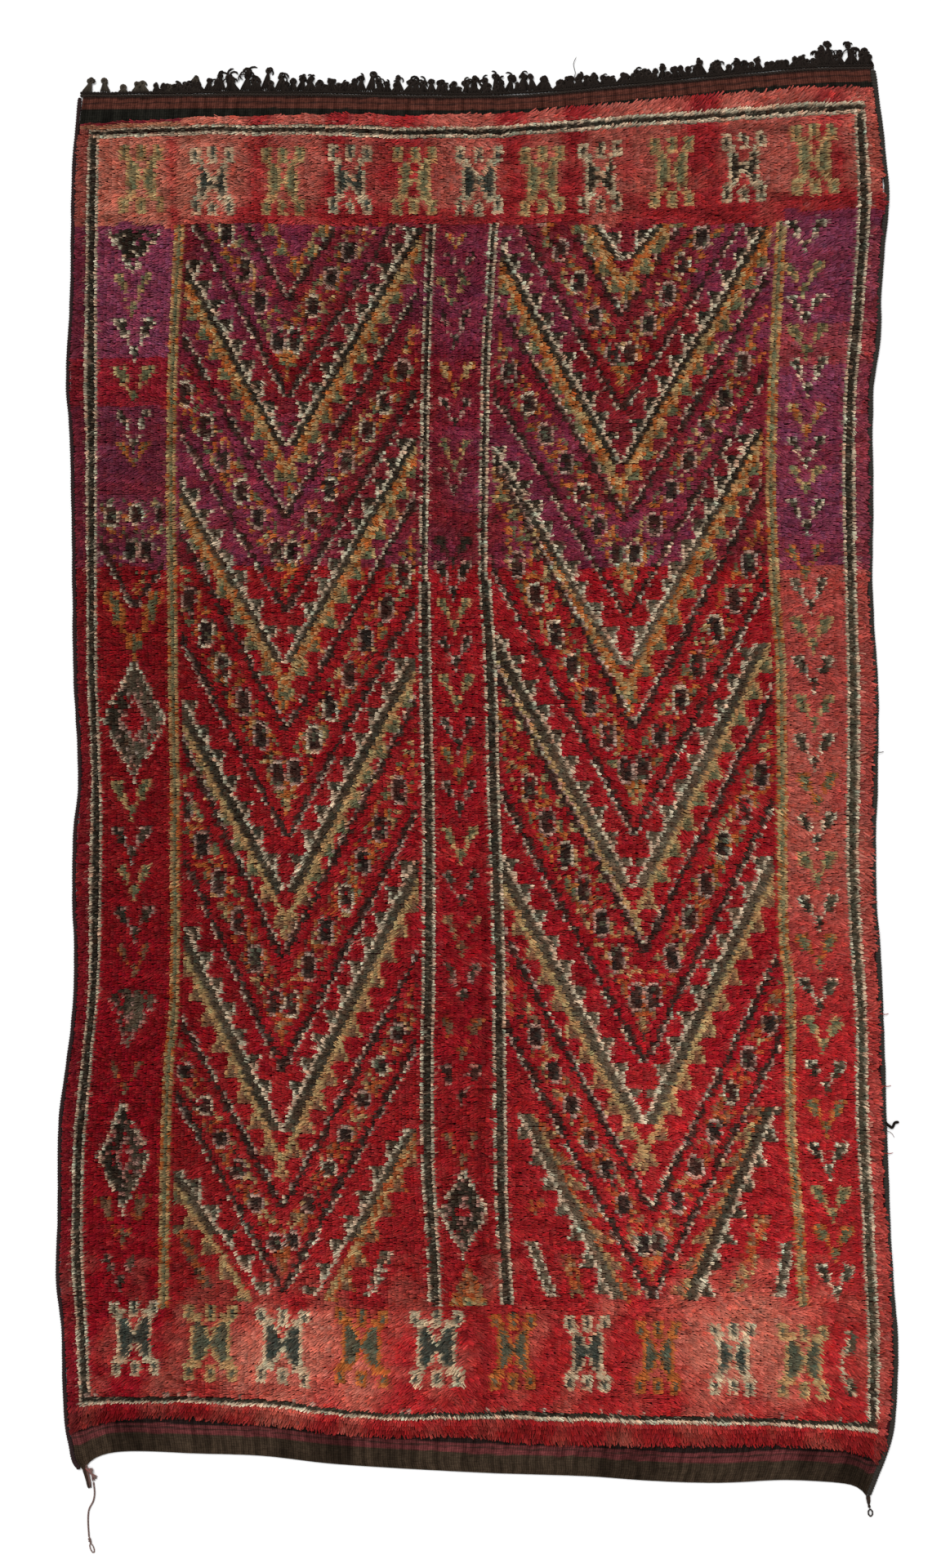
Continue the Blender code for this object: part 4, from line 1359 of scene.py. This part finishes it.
def make_ground(material):
    """The ground weave with its striped ends: a thin closed cloth flat on the floor."""
    near_bottom = np.arange(0, BOTTOM_FLAT, FLAT_STEP)
    near_top = np.arange(0, TOP_FLAT, FLAT_STEP)
    middle = np.linspace(BOTTOM_FLAT + 0.01, CLOTH_LENGTH - TOP_FLAT - 0.008, 24)
    v = np.concatenate([near_bottom, middle, CLOTH_LENGTH - near_top[::-1]]) / CLOTH_LENGTH
    u = np.linspace(0, 1, 121)
    vv, uu = np.meshgrid(v, u, indexing="ij")
    x, y = lattice_point(uu, vv)
    z = FLAT_TOP_Z + 0.0003 * wave_noise(x, y, 0.02, 23)
    upper, lower = np.stack([x, y, z], -1), np.stack([x, y, np.full_like(x, 0.0002)], -1)
    rows, columns = x.shape
    points = np.concatenate([upper.reshape(-1, 3), lower.reshape(-1, 3)])
    index = np.arange(rows * columns).reshape(rows, columns)
    a, b = index[:-1, :-1].ravel(), index[:-1, 1:].ravel()
    c, d = index[1:, 1:].ravel(), index[1:, :-1].ravel()
    top = np.concatenate([np.stack([a, b, c], -1), np.stack([a, c, d], -1)])
    under = top[:, ::-1] + rows * columns
    rim = np.concatenate([index[0, :-1], index[:-1, -1], index[-1, :0:-1], index[:0:-1, 0]])
    after = np.roll(rim, -1)
    lift = rows * columns
    wall = np.concatenate(
        [np.stack([rim, rim + lift, after], -1), np.stack([after, rim + lift, after + lift], -1)]
    )
    colour = stripe_colours(x, y, vv * CLOTH_LENGTH, (1 - vv) * CLOTH_LENGTH)
    colours = np.concatenate([colour.reshape(-1, 3)] * 2)
    faces = np.concatenate([top, under, wall])
    obj = mesh_from_arrays("ground_weave", points, faces, colours, smooth=False)
    layer = obj.data.attributes.new("weave_place", "FLOAT_VECTOR", "POINT")
    place = np.stack([uu * CLOTH_WIDTH, vv * CLOTH_LENGTH, 0 * uu], -1).reshape(-1, 3)
    layer.data.foreach_set("vector", np.concatenate([place] * 2).astype(np.float32).ravel())
    return finish(obj, material, "rug_body")


def weave_material():
    """Weft-faced plain weave: packed wefts across the rug, a fine rib for each warp, with painted
    shade in the grooves and painted light on the ribs.
    """
    mat = yarn_material("weave_wool", streak=0.0)
    tint, bump = node_of(mat, "VECT_MATH"), node_of(mat, "BUMP")
    place = add_node(mat, "Attribute", attribute_name="weave_place")
    rough = {"Scale": 95.0, "Distortion": 2.5, "Detail": 2.0, "Detail Scale": 3.0}
    wefts = add_node(mat, "TexWave", rough, bands_direction="Y")
    warps = add_node(mat, "TexWave", {"Scale": 62.0, "Distortion": 1.5}, bands_direction="X")
    mottle = add_node(mat, "TexNoise", {"Scale": 160.0, "Detail": 3.0})
    stretch = add_node(mat, "Mapping", {"Scale": (75.0, 14.0, 1.0)})
    streaks = add_node(mat, "TexNoise", {"Scale": 1.0, "Detail": 3.0})
    ribs = add_node(mat, "Math", operation="MULTIPLY")
    relief = add_node(mat, "Math", operation="ADD")
    # Painted shade and light: the relief of ribs and mottle scales the colour.
    spread = map_range(mat, 0.35, 1.25, 0.55, 1.75)
    patchy = map_range(mat, 0.35, 0.65, 0.6, 1.4)
    product = add_node(mat, "Math", operation="MULTIPLY")
    join(
        mat,
        (place, "Vector", wefts, "Vector"),
        (place, "Vector", warps, "Vector"),
        (place, "Vector", mottle, "Vector"),
        (place, "Vector", stretch, "Vector"),
        (stretch, "Vector", streaks, "Vector"),
        (wefts, "Fac", ribs, 0),
        (warps, "Fac", ribs, 1),
        (ribs, "Value", relief, 0),
        (mottle, "Fac", relief, 1),
        (relief, "Value", spread, "Value"),
        (streaks, "Fac", patchy, "Value"),
        (spread, "Result", product, 0),
        (patchy, "Result", product, 1),
        (product, "Value", tint, "Scale"),
        (relief, "Value", bump, "Height"),
    )
    bump.inputs["Strength"].default_value = 0.6
    bump.inputs["Distance"].default_value = 0.0009
    return mat


pile_wool = yarn_material("pile_wool")
ground = make_ground(weave_material())
pile = make_pile(pile_wool)


# ---------------------------------------------------------------- cords, edges and fringe

BLACK_WOOL = np.array([0.016, 0.012, 0.01])
BROWN_WOOL = np.array([0.045, 0.028, 0.02])
GREY_PINK = np.array([0.165, 0.105, 0.092])


class Yarns:
    """Gathers tubes of yarn into the arrays of one mesh."""

    def __init__(self):
        self.points, self.faces, self.colours, self.count = [], [], [], 0

    def add(self, path, radius, colour, sides=5, plies=0, pitch=0.006, taper=0.35, flat=1.0):
        """A tube along a path; with plies it has the ridges of a twisted yarn, and flat is its
        height over its width."""
        path = np.asarray(path, float)
        n = len(path)
        step = np.gradient(path, axis=0)
        step /= np.maximum(np.linalg.norm(step, axis=1, keepdims=True), 1e-9)
        up = np.where(np.abs(step[:, 2:3]) > 0.9, [[1.0, 0.0, 0.0]], [[0.0, 0.0, 1.0]])
        side = np.cross(step, up)
        side /= np.maximum(np.linalg.norm(side, axis=1, keepdims=True), 1e-9)
        top = np.cross(side, step)
        run = np.concatenate([[0], np.cumsum(np.linalg.norm(np.diff(path, axis=0), axis=1))])
        turn = 2 * np.pi * np.arange(sides) / sides
        thick = radius * np.ones(n)
        if taper < 1.0:
            thick[[0, -1]] *= taper
        ridge = np.ones((n, sides))
        if plies:
            ridge += 0.2 * np.cos(plies * turn[None] - 2 * np.pi * run[:, None] / pitch)
        reach = thick[:, None] * ridge
        ring = side[:, None] * np.cos(turn)[None, :, None]
        ring = ring + flat * top[:, None] * np.sin(turn)[None, :, None]
        points = path[:, None] + ring * reach[..., None]
        a = (np.arange(n - 1)[:, None] * sides + np.arange(sides)[None]).ravel()
        b = (np.arange(n - 1)[:, None] * sides + (np.arange(sides)[None] + 1) % sides).ravel()
        faces = [np.stack([a, b, b + sides], -1), np.stack([a, b + sides, a + sides], -1)]
        fan = np.arange(1, sides - 1)
        last = (n - 1) * sides
        faces.append(np.stack([0 * fan, fan + 1, fan], -1))
        faces.append(np.stack([0 * fan + last, fan + last, fan + 1 + last], -1))
        # Painted shade in the grooves between the plies, painted light on their ridges.
        shade = (0.7 + 0.55 * (ridge - 0.8) / 0.4 if plies else ridge)[..., None]
        self.points.append(points.reshape(-1, 3))
        self.faces.append(np.concatenate(faces) + self.count)
        self.colours.append(np.clip(np.asarray(colour) * shade, 0.003, 0.9).reshape(-1, 3))
        self.count += n * sides

    def strand(self, points, count, seed, waver, radius, colour, sides=4, **twist):
        """A tube through a few points, with a slight waver."""
        self.add(wavering(points, count, seed, waver), radius, colour, sides, **twist)

    def build(self, name, material, node=None):
        points, faces = np.concatenate(self.points), np.concatenate(self.faces)
        obj = mesh_from_arrays(name, points, faces, np.concatenate(self.colours))
        return finish(obj, material, node)


def tone_of(colour, spread=0.2):
    return np.asarray(colour) * np.clip(1 + spread * rng.standard_normal(), 0.5, 1.6)


SELVEDGE_RADIUS = {-1.0: 0.0048, 1.0: 0.0058}
SELVEDGE_WOOL = {-1.0: (0.024, 0.014, 0.014), 1.0: (0.03, 0.026, 0.022)}


def make_selvedge(name, u, outward):
    """Overcast edge: wool wrapped round and round a warp cord."""
    v = np.linspace(0.0005, 0.9995, 1500)
    x, y = lattice_point(np.full_like(v, u), v)
    thick = SELVEDGE_RADIUS[outward] * (1 + 0.1 * wave_noise(0 * y, y, 0.012, 32))
    x = x + outward * (GAP + SELVEDGE_WIDTH + 0.0008 - thick)
    x = x + 0.0007 * wave_noise(0 * y, y, 0.03, 31)
    z = np.full_like(x, 0.0045)
    yarns = Yarns()
    path = np.stack([x, y, z], -1)
    yarns.add(path, thick, SELVEDGE_WOOL[outward], sides=7, plies=1, pitch=0.006, flat=0.52)
    return yarns.build(name, binding_wool, name)


def make_heading():
    """Two rows of twined weft that hold the ends of the warp."""
    yarns = Yarns()
    left, right = lattice_point(0.0, 1.0)[0] - 0.006, lattice_point(1.0, 1.0)[0] + 0.006
    x = np.linspace(left, right, 560)
    base = curve_at(TOP_EDGE, x) - 0.0012
    for row, out in enumerate((0.0036, 0.0098)):
        for strand in range(2):
            turn = 2 * np.pi * x / 0.015 + np.pi * strand + 0.9 * row
            wander = 0.0006 * wave_noise(x, 0 * x, 0.03, 40 + row)
            y = base + out + wander + 0.0016 * np.cos(turn)
            z = 0.0032 + 0.0012 * np.sin(turn)
            grey = ramp((-0.52 - x.mean()) / 0.1)
            colour = tone_of(BLACK_WOOL + grey * 0.02, 0.1)
            yarns.add(np.stack([x, y, z], -1), 0.002, colour * (1.6 if row == 0 else 1.0), sides=5)
    return yarns.build("fringe_heading", fringe_wool, "top_fringe")


def tuft_places():
    """x, size and darkness of every knotted tuft, pale and far apart near the left corner."""
    sparse = [-0.838, -0.797, -0.759, -0.731, -0.713, -0.661, -0.603]
    places = [(x, 1.5, 0.5) for x in sparse]
    x = -0.685
    while x < 0.835:
        places.append((x, 0.62 if x < -0.585 else 1.0, 1.0))
        x += max(0.0118 + 0.004 * rng.standard_normal(), 0.005)
    return places + [(0.838, 1.0, 1.0)]


FRINGE_REACH = (
    (-0.86, 0.03), (-0.74, 0.022), (-0.603, 0.035), (-0.463, 0.052), (-0.393, 0.04),
    (-0.323, 0.03), (-0.183, 0.048), (-0.113, 0.032), (0.097, 0.04), (0.167, 0.033), (0.307, 0.028),
    (0.517, 0.038), (0.657, 0.026), (0.74, 0.038), (0.775, 0.054), (0.8, 0.046), (0.86, 0.054),
)


def make_tufts():
    """Knotted warp ends: each tuft is tied once and its ends curl beyond the knot."""
    yarns = Yarns()
    for x, size_here, dark in tuft_places():
        base = float(curve_at(TOP_EDGE, np.array(x))) + 0.012
        reach = 1.12 * float(curve_at(FRINGE_REACH, np.array(x))) - 0.01
        uneven = float(np.clip(0.92 + 0.3 * rng.standard_normal(), 0.45, 1.35))
        reach = max(size_here * reach * uneven, 0.012)
        lean = 0.28 * rng.standard_normal()
        knot = reach * rng.uniform(0.45, 0.75)
        wool = BLACK_WOOL if dark > 0.9 else np.array([0.042, 0.034, 0.026])
        for k in range(5):
            side = (k - 2) * 0.003
            t = np.linspace(0, 1, 5)[:, None]
            end = np.array([x + lean * knot, base + knot, 0.0035])
            start = np.array([x + 1.8 * side, base - 0.004, 0.003])
            yarns.add(start + (end - start) * t, 0.0021, tone_of(wool), sides=4)
        turn = np.linspace(0, 2 * np.pi * 1.6, 15)
        size = rng.uniform(0.0034, 0.0052)
        ring = np.stack(
            [
                x + lean * knot + size * np.cos(turn) * 1.1,
                base + knot + size * np.sin(turn) * 0.9 + 0.0008 * turn / 6,
                0.0034 + 0.0014 * np.sin(2.5 * turn),
            ],
            -1,
        )
        yarns.add(ring, 0.0023, tone_of(wool * 1.2), sides=5)
        for k in range(rng.integers(3, 6)):
            curl = rng.uniform(2.5, 6.5) * rng.choice([-1, 1])
            way = rng.uniform(-1.3, 1.3)
            t = np.linspace(0, 1, 7)
            length = (reach - knot) * rng.uniform(0.7, 1.3) + 0.006
            heading = way + curl * t
            step = length / 6
            px = x + lean * knot + np.concatenate([[0], np.cumsum(np.sin(heading[:-1]) * step)])
            py = base + knot + np.concatenate([[0], np.cumsum(np.cos(heading[:-1]) * step)])
            pz = 0.003 + 0.0016 * np.sin(3 * t + k)
            thick = rng.uniform(0.0014, 0.0023)
            yarns.add(np.stack([px, py, pz], -1), thick, tone_of(wool), sides=4)
    return yarns.build("fringe_tufts", fringe_wool)


def wavering(points, count, seed, amount):
    """A smooth path through a few points, with a slight waver."""
    points = np.asarray(points, float)
    keys = np.linspace(0, 1, len(points))
    t = np.linspace(0, 1, count)
    path = np.stack([curve_at(list(zip(keys, column)), t) for column in points.T], -1)
    path[:, 0] += amount * wave_noise(t, 0 * t, 0.12, seed)
    path[:, 1] += amount * wave_noise(t, 0 * t, 0.12, seed + 1)
    return path


def make_loose_threads():
    """A long fringe end, and the wisps that stand out from the two sides."""
    yarns = Yarns()
    fringe_end = [(0.205, 1.492, 0.004), (0.209, 1.512, 0.005)]
    fringe_end += [(0.206, 1.53, 0.004), (0.211, 1.547, 0.004)]
    yarns.strand(fringe_end, 14, 60, 0.0006, 0.0007, BLACK_WOOL * 1.5)
    curl = [(0.872, -0.735, 0.006), (0.881, -0.742, 0.005), (0.888, -0.746, 0.003)]
    curl += [(0.894, -0.736, 0.003), (0.902, -0.734, 0.003)]
    yarns.strand(curl, 18, 62, 0.0004, 0.003, 0.6 * BLACK_WOOL, sides=6, taper=0.6)
    grey = [(0.874, -0.752, 0.006), (0.885, -0.757, 0.004), (0.893, -0.768, 0.003)]
    yarns.strand(grey, 10, 64, 0.0005, 0.0006, GREY_PINK)
    for y, red in ((-0.501, 1), (-0.799, 1), (-0.655, 1), (0.06, 0)):
        x = float(body_right(np.array(y)))
        tint = np.array([0.27, 0.03, 0.024]) if red else BROWN_WOOL
        wisp = [(x - 0.005, y, 0.008), (x + 0.01, y - 0.003, 0.006), (x + 0.021, y - 0.001, 0.003)]
        yarns.strand(wisp, 9, 66, 0.0004, 0.0008, tint)
    return yarns.build("loose_threads", fringe_wool)


def make_left_tail():
    """The drawn-out corner: dark binding run to a point, and a bundle of pile yarn beside it."""
    yarns = Yarns()
    ax, ay = lattice_point(0.0, 0.0)
    bx, by = lattice_point(0.016 / CLOTH_WIDTH, 0.0)
    for i in range(26):
        t = i / 25
        start = (ax + (bx - ax) * t, ay + (by - ay) * t + 0.003, 0.0035)
        tip_x = -0.83 + 0.0035 * rng.standard_normal() * 0.5
        tip_y = -1.515 + 0.006 * rng.standard_normal() * 0.6
        middle = (0.55 * start[0] + 0.45 * tip_x + 0.001, 0.5 * (start[1] + tip_y), 0.0045)
        wool = BROWN_WOOL * 0.7 if t < 0.65 else np.array([0.115, 0.065, 0.055])
        end = (tip_x, min(max(tip_y, -1.519), -1.502), 0.003)
        yarns.strand([start, middle, end], 8, 80 + i, 0.0005, 0.0014, tone_of(wool))
    for i in range(16):
        start = (-0.84 + 0.0011 * i, -1.476 + 0.001 * (i % 3), 0.005)
        end = (-0.814 - 0.0005 * i + 0.001 * rng.standard_normal(), -1.494 - 0.0007 * i, 0.0035)
        middle = (0.5 * (start[0] + end[0]) - 0.002, 0.5 * (start[1] + end[1]), 0.0065)
        wool = GREY_PINK if i % 4 else np.array([0.22, 0.045, 0.045])
        yarns.strand([start, middle, end], 8, 120 + i, 0.0006, 0.0011, tone_of(wool, 0.25))
    return yarns.build("left_corner_yarns", corner_wool, "left_corner_tail")


def oval(centre, reach, tilt, count):
    turn = 0.5 * np.pi + 2 * np.pi * np.linspace(0, 1, count)
    a, b = reach[0] * np.cos(turn), reach[1] * np.sin(turn)
    x = centre[0] + a * np.cos(tilt) - b * np.sin(tilt)
    y = centre[1] + a * np.sin(tilt) + b * np.cos(tilt)
    return np.stack([x, y], -1)


def make_right_tail():
    """Twisted end of the right edge, finishing in a tiny loop."""
    yarns = Yarns()
    stem = [(0.8362, -1.534, 0.0028), (0.8368, -1.548, 0.0028), (0.8398, -1.561, 0.0028)]
    black = BLACK_WOOL * 1.6
    yarns.strand(stem, 26, 90, 0.0003, 0.0026, black, sides=6, plies=2, pitch=0.008)
    ring = oval((0.8415, -1.5715), (0.0046, 0.007), 0.1, 30)
    ring = np.column_stack([ring, np.full(len(ring), 0.0026)])
    yarns.add(ring, 0.0016, black, sides=6, plies=2, pitch=0.006, taper=1.0)
    for i in range(7):
        start = (0.8325 + 0.0013 * i, -1.5345, 0.003)
        end = (0.8345 + 0.001 * i, -1.549 - 0.0011 * (i % 4), 0.0034)
        middle = (0.5 * (start[0] + end[0]), -1.5415, 0.0042)
        yarns.strand([start, middle, end], 7, 140 + i, 0.0004, 0.001, tone_of(BROWN_WOOL))
    return yarns.build("right_corner_yarns", corner_wool, "right_corner_tail")


def make_knot():
    """Overhand knot at the end of the free cord, with the small loop below it."""
    yarns = Yarns()
    turn = np.linspace(0, 2 * np.pi * 2.25, 40)
    along = np.linspace(-1.6258, -1.6352, 40)
    x = -0.831 + 0.0022 * np.cos(turn) + 0.0018 * np.linspace(0, 1, 40)
    z = 0.0028 + 0.0012 * np.sin(turn)
    yarns.add(np.stack([x, along, z], -1), 0.0014, GREY_PINK * 0.9, sides=6, plies=2, pitch=0.005)
    stem = [(-0.8312, -1.624, 0.002), (-0.83, -1.63, 0.002), (-0.8288, -1.6372, 0.002)]
    yarns.strand(stem, 12, 91, 0.0002, 0.0016, GREY_PINK, sides=6, plies=2, pitch=0.005)
    ring = oval((-0.8255, -1.6475), (0.0037, 0.01), 0.35, 36)
    ring = np.column_stack([ring, np.full(len(ring), 0.0018)])
    yarns.add(ring, 0.0013, GREY_PINK, sides=6, plies=2, pitch=0.005, taper=1.0)
    return yarns.build("cord_end_knot", cord_wool, "cord_knot")


CORD_DIAMETER = 0.0035
CORD_ROUTE = (
    (-0.8222, -1.5066), (-0.82, -1.529), (-0.823, -1.547), (-0.832, -1.565), (-0.834, -1.589),
    (-0.832, -1.6232),
)


def make_cord():
    """The free cord from the left corner, lying on the floor."""
    curve = bpy.data.curves.new("free_cord", "CURVE")
    curve.dimensions = "3D"
    curve.bevel_depth = CORD_DIAMETER / 2
    curve.bevel_resolution = 3
    curve.use_fill_caps = True
    t = np.linspace(0, len(CORD_ROUTE) - 1, 20)
    xs, ys = [curve_at(list(enumerate(column)), t) for column in zip(*CORD_ROUTE)]
    spline = curve.splines.new("POLY")
    spline.points.add(len(t) - 1)
    for point, x, y in zip(spline.points, xs, ys):
        point.co = (x, y, CORD_DIAMETER / 2 + 0.0001, 1.0)
    obj = add_object("free_cord", curve)
    return finish(obj, twist_material("free_cord_wool", GREY_PINK), "corner_cord")


def twist_material(name, colour):
    """Two-ply cord: painted shade in slanting grooves and painted light between them, over the
    yarn's own colour.
    """
    mat = yarn_material(name)
    mat.node_tree.nodes.remove(node_of(mat, "ATTRIBUTE"))
    wave = add_node(mat, "TexWave", {"Scale": 95.0, "Distortion": 1.5}, bands_direction="DIAGONAL")
    groove_shade_ramp = add_node(mat, "ValToRGB")
    groove_shade_ramp.color_ramp.elements[0].color = (*(0.45 * colour), 1)
    groove_shade_ramp.color_ramp.elements[1].color = (*(1.15 * colour), 1)
    join(
        mat,
        (node_of(mat, "TEX_COORD"), "Object", wave, "Vector"),
        (wave, "Fac", groove_shade_ramp, "Fac"),
        (groove_shade_ramp, "Color", node_of(mat, "VECT_MATH"), 0),
    )
    return mat


binding_wool = yarn_material("binding_wool")
fringe_wool, corner_wool, cord_wool = (
    yarn_material(name, streak=0.3) for name in ("fringe_wool", "corner_wool", "cord_wool")
)
cord = make_cord()
knot = make_knot()
make_selvedge("left_selvedge", 0.0, -1.0)
make_selvedge("right_selvedge", 1.0, 1.0)
heading = make_heading()
tufts = make_tufts()
make_loose_threads()
make_left_tail()
make_right_tail()


# ---------------------------------------------------------------- camera, light and floor


CAMERA_PLACE = (-0.0149, -0.0105, 5.6)
LENS, SENSOR = 60, 36
FLOOR_REACH = 30.0
SKY_STRENGTH, SUN_STRENGTH = 0.75, 2.0


def make_view():
    """The camera looks straight down."""
    camera = bpy.data.cameras.new("camera")
    camera.lens = LENS
    camera.sensor_width = SENSOR
    obj = add_object("camera", camera)
    obj.location = CAMERA_PLACE
    bpy.context.scene.camera = obj


def make_floor():
    mesh = bpy.data.meshes.new("floor")
    s = FLOOR_REACH
    mesh.from_pydata([(-s, -s, 0), (s, -s, 0), (s, s, 0), (-s, s, 0)], [], [(0, 1, 2, 3)])
    mat = bpy.data.materials.new("floor_white")
    mat.use_nodes = True
    shader = mat.node_tree.nodes["Principled BSDF"]
    shader.inputs["Base Color"].default_value = (0.9, 0.9, 0.9, 1)
    shader.inputs["Roughness"].default_value = 0.9
    mesh.materials.append(mat)
    add_object("floor", mesh)


def make_light():
    """An even white sky and a soft sun from the upper left."""
    world = bpy.data.worlds.new("studio")
    world.use_nodes = True
    sky = world.node_tree.nodes["Background"].inputs
    sky["Color"].default_value = (1, 1, 1, 1)
    sky["Strength"].default_value = SKY_STRENGTH
    bpy.context.scene.world = world
    sun = bpy.data.lights.new("key", "SUN")
    sun.energy = SUN_STRENGTH
    sun.angle = 0.5
    add_object("key", sun).rotation_euler = (-0.55, -0.35, 0.0)
    bpy.context.scene.view_settings.view_transform = "Standard"


make_view()
make_floor()
make_light()
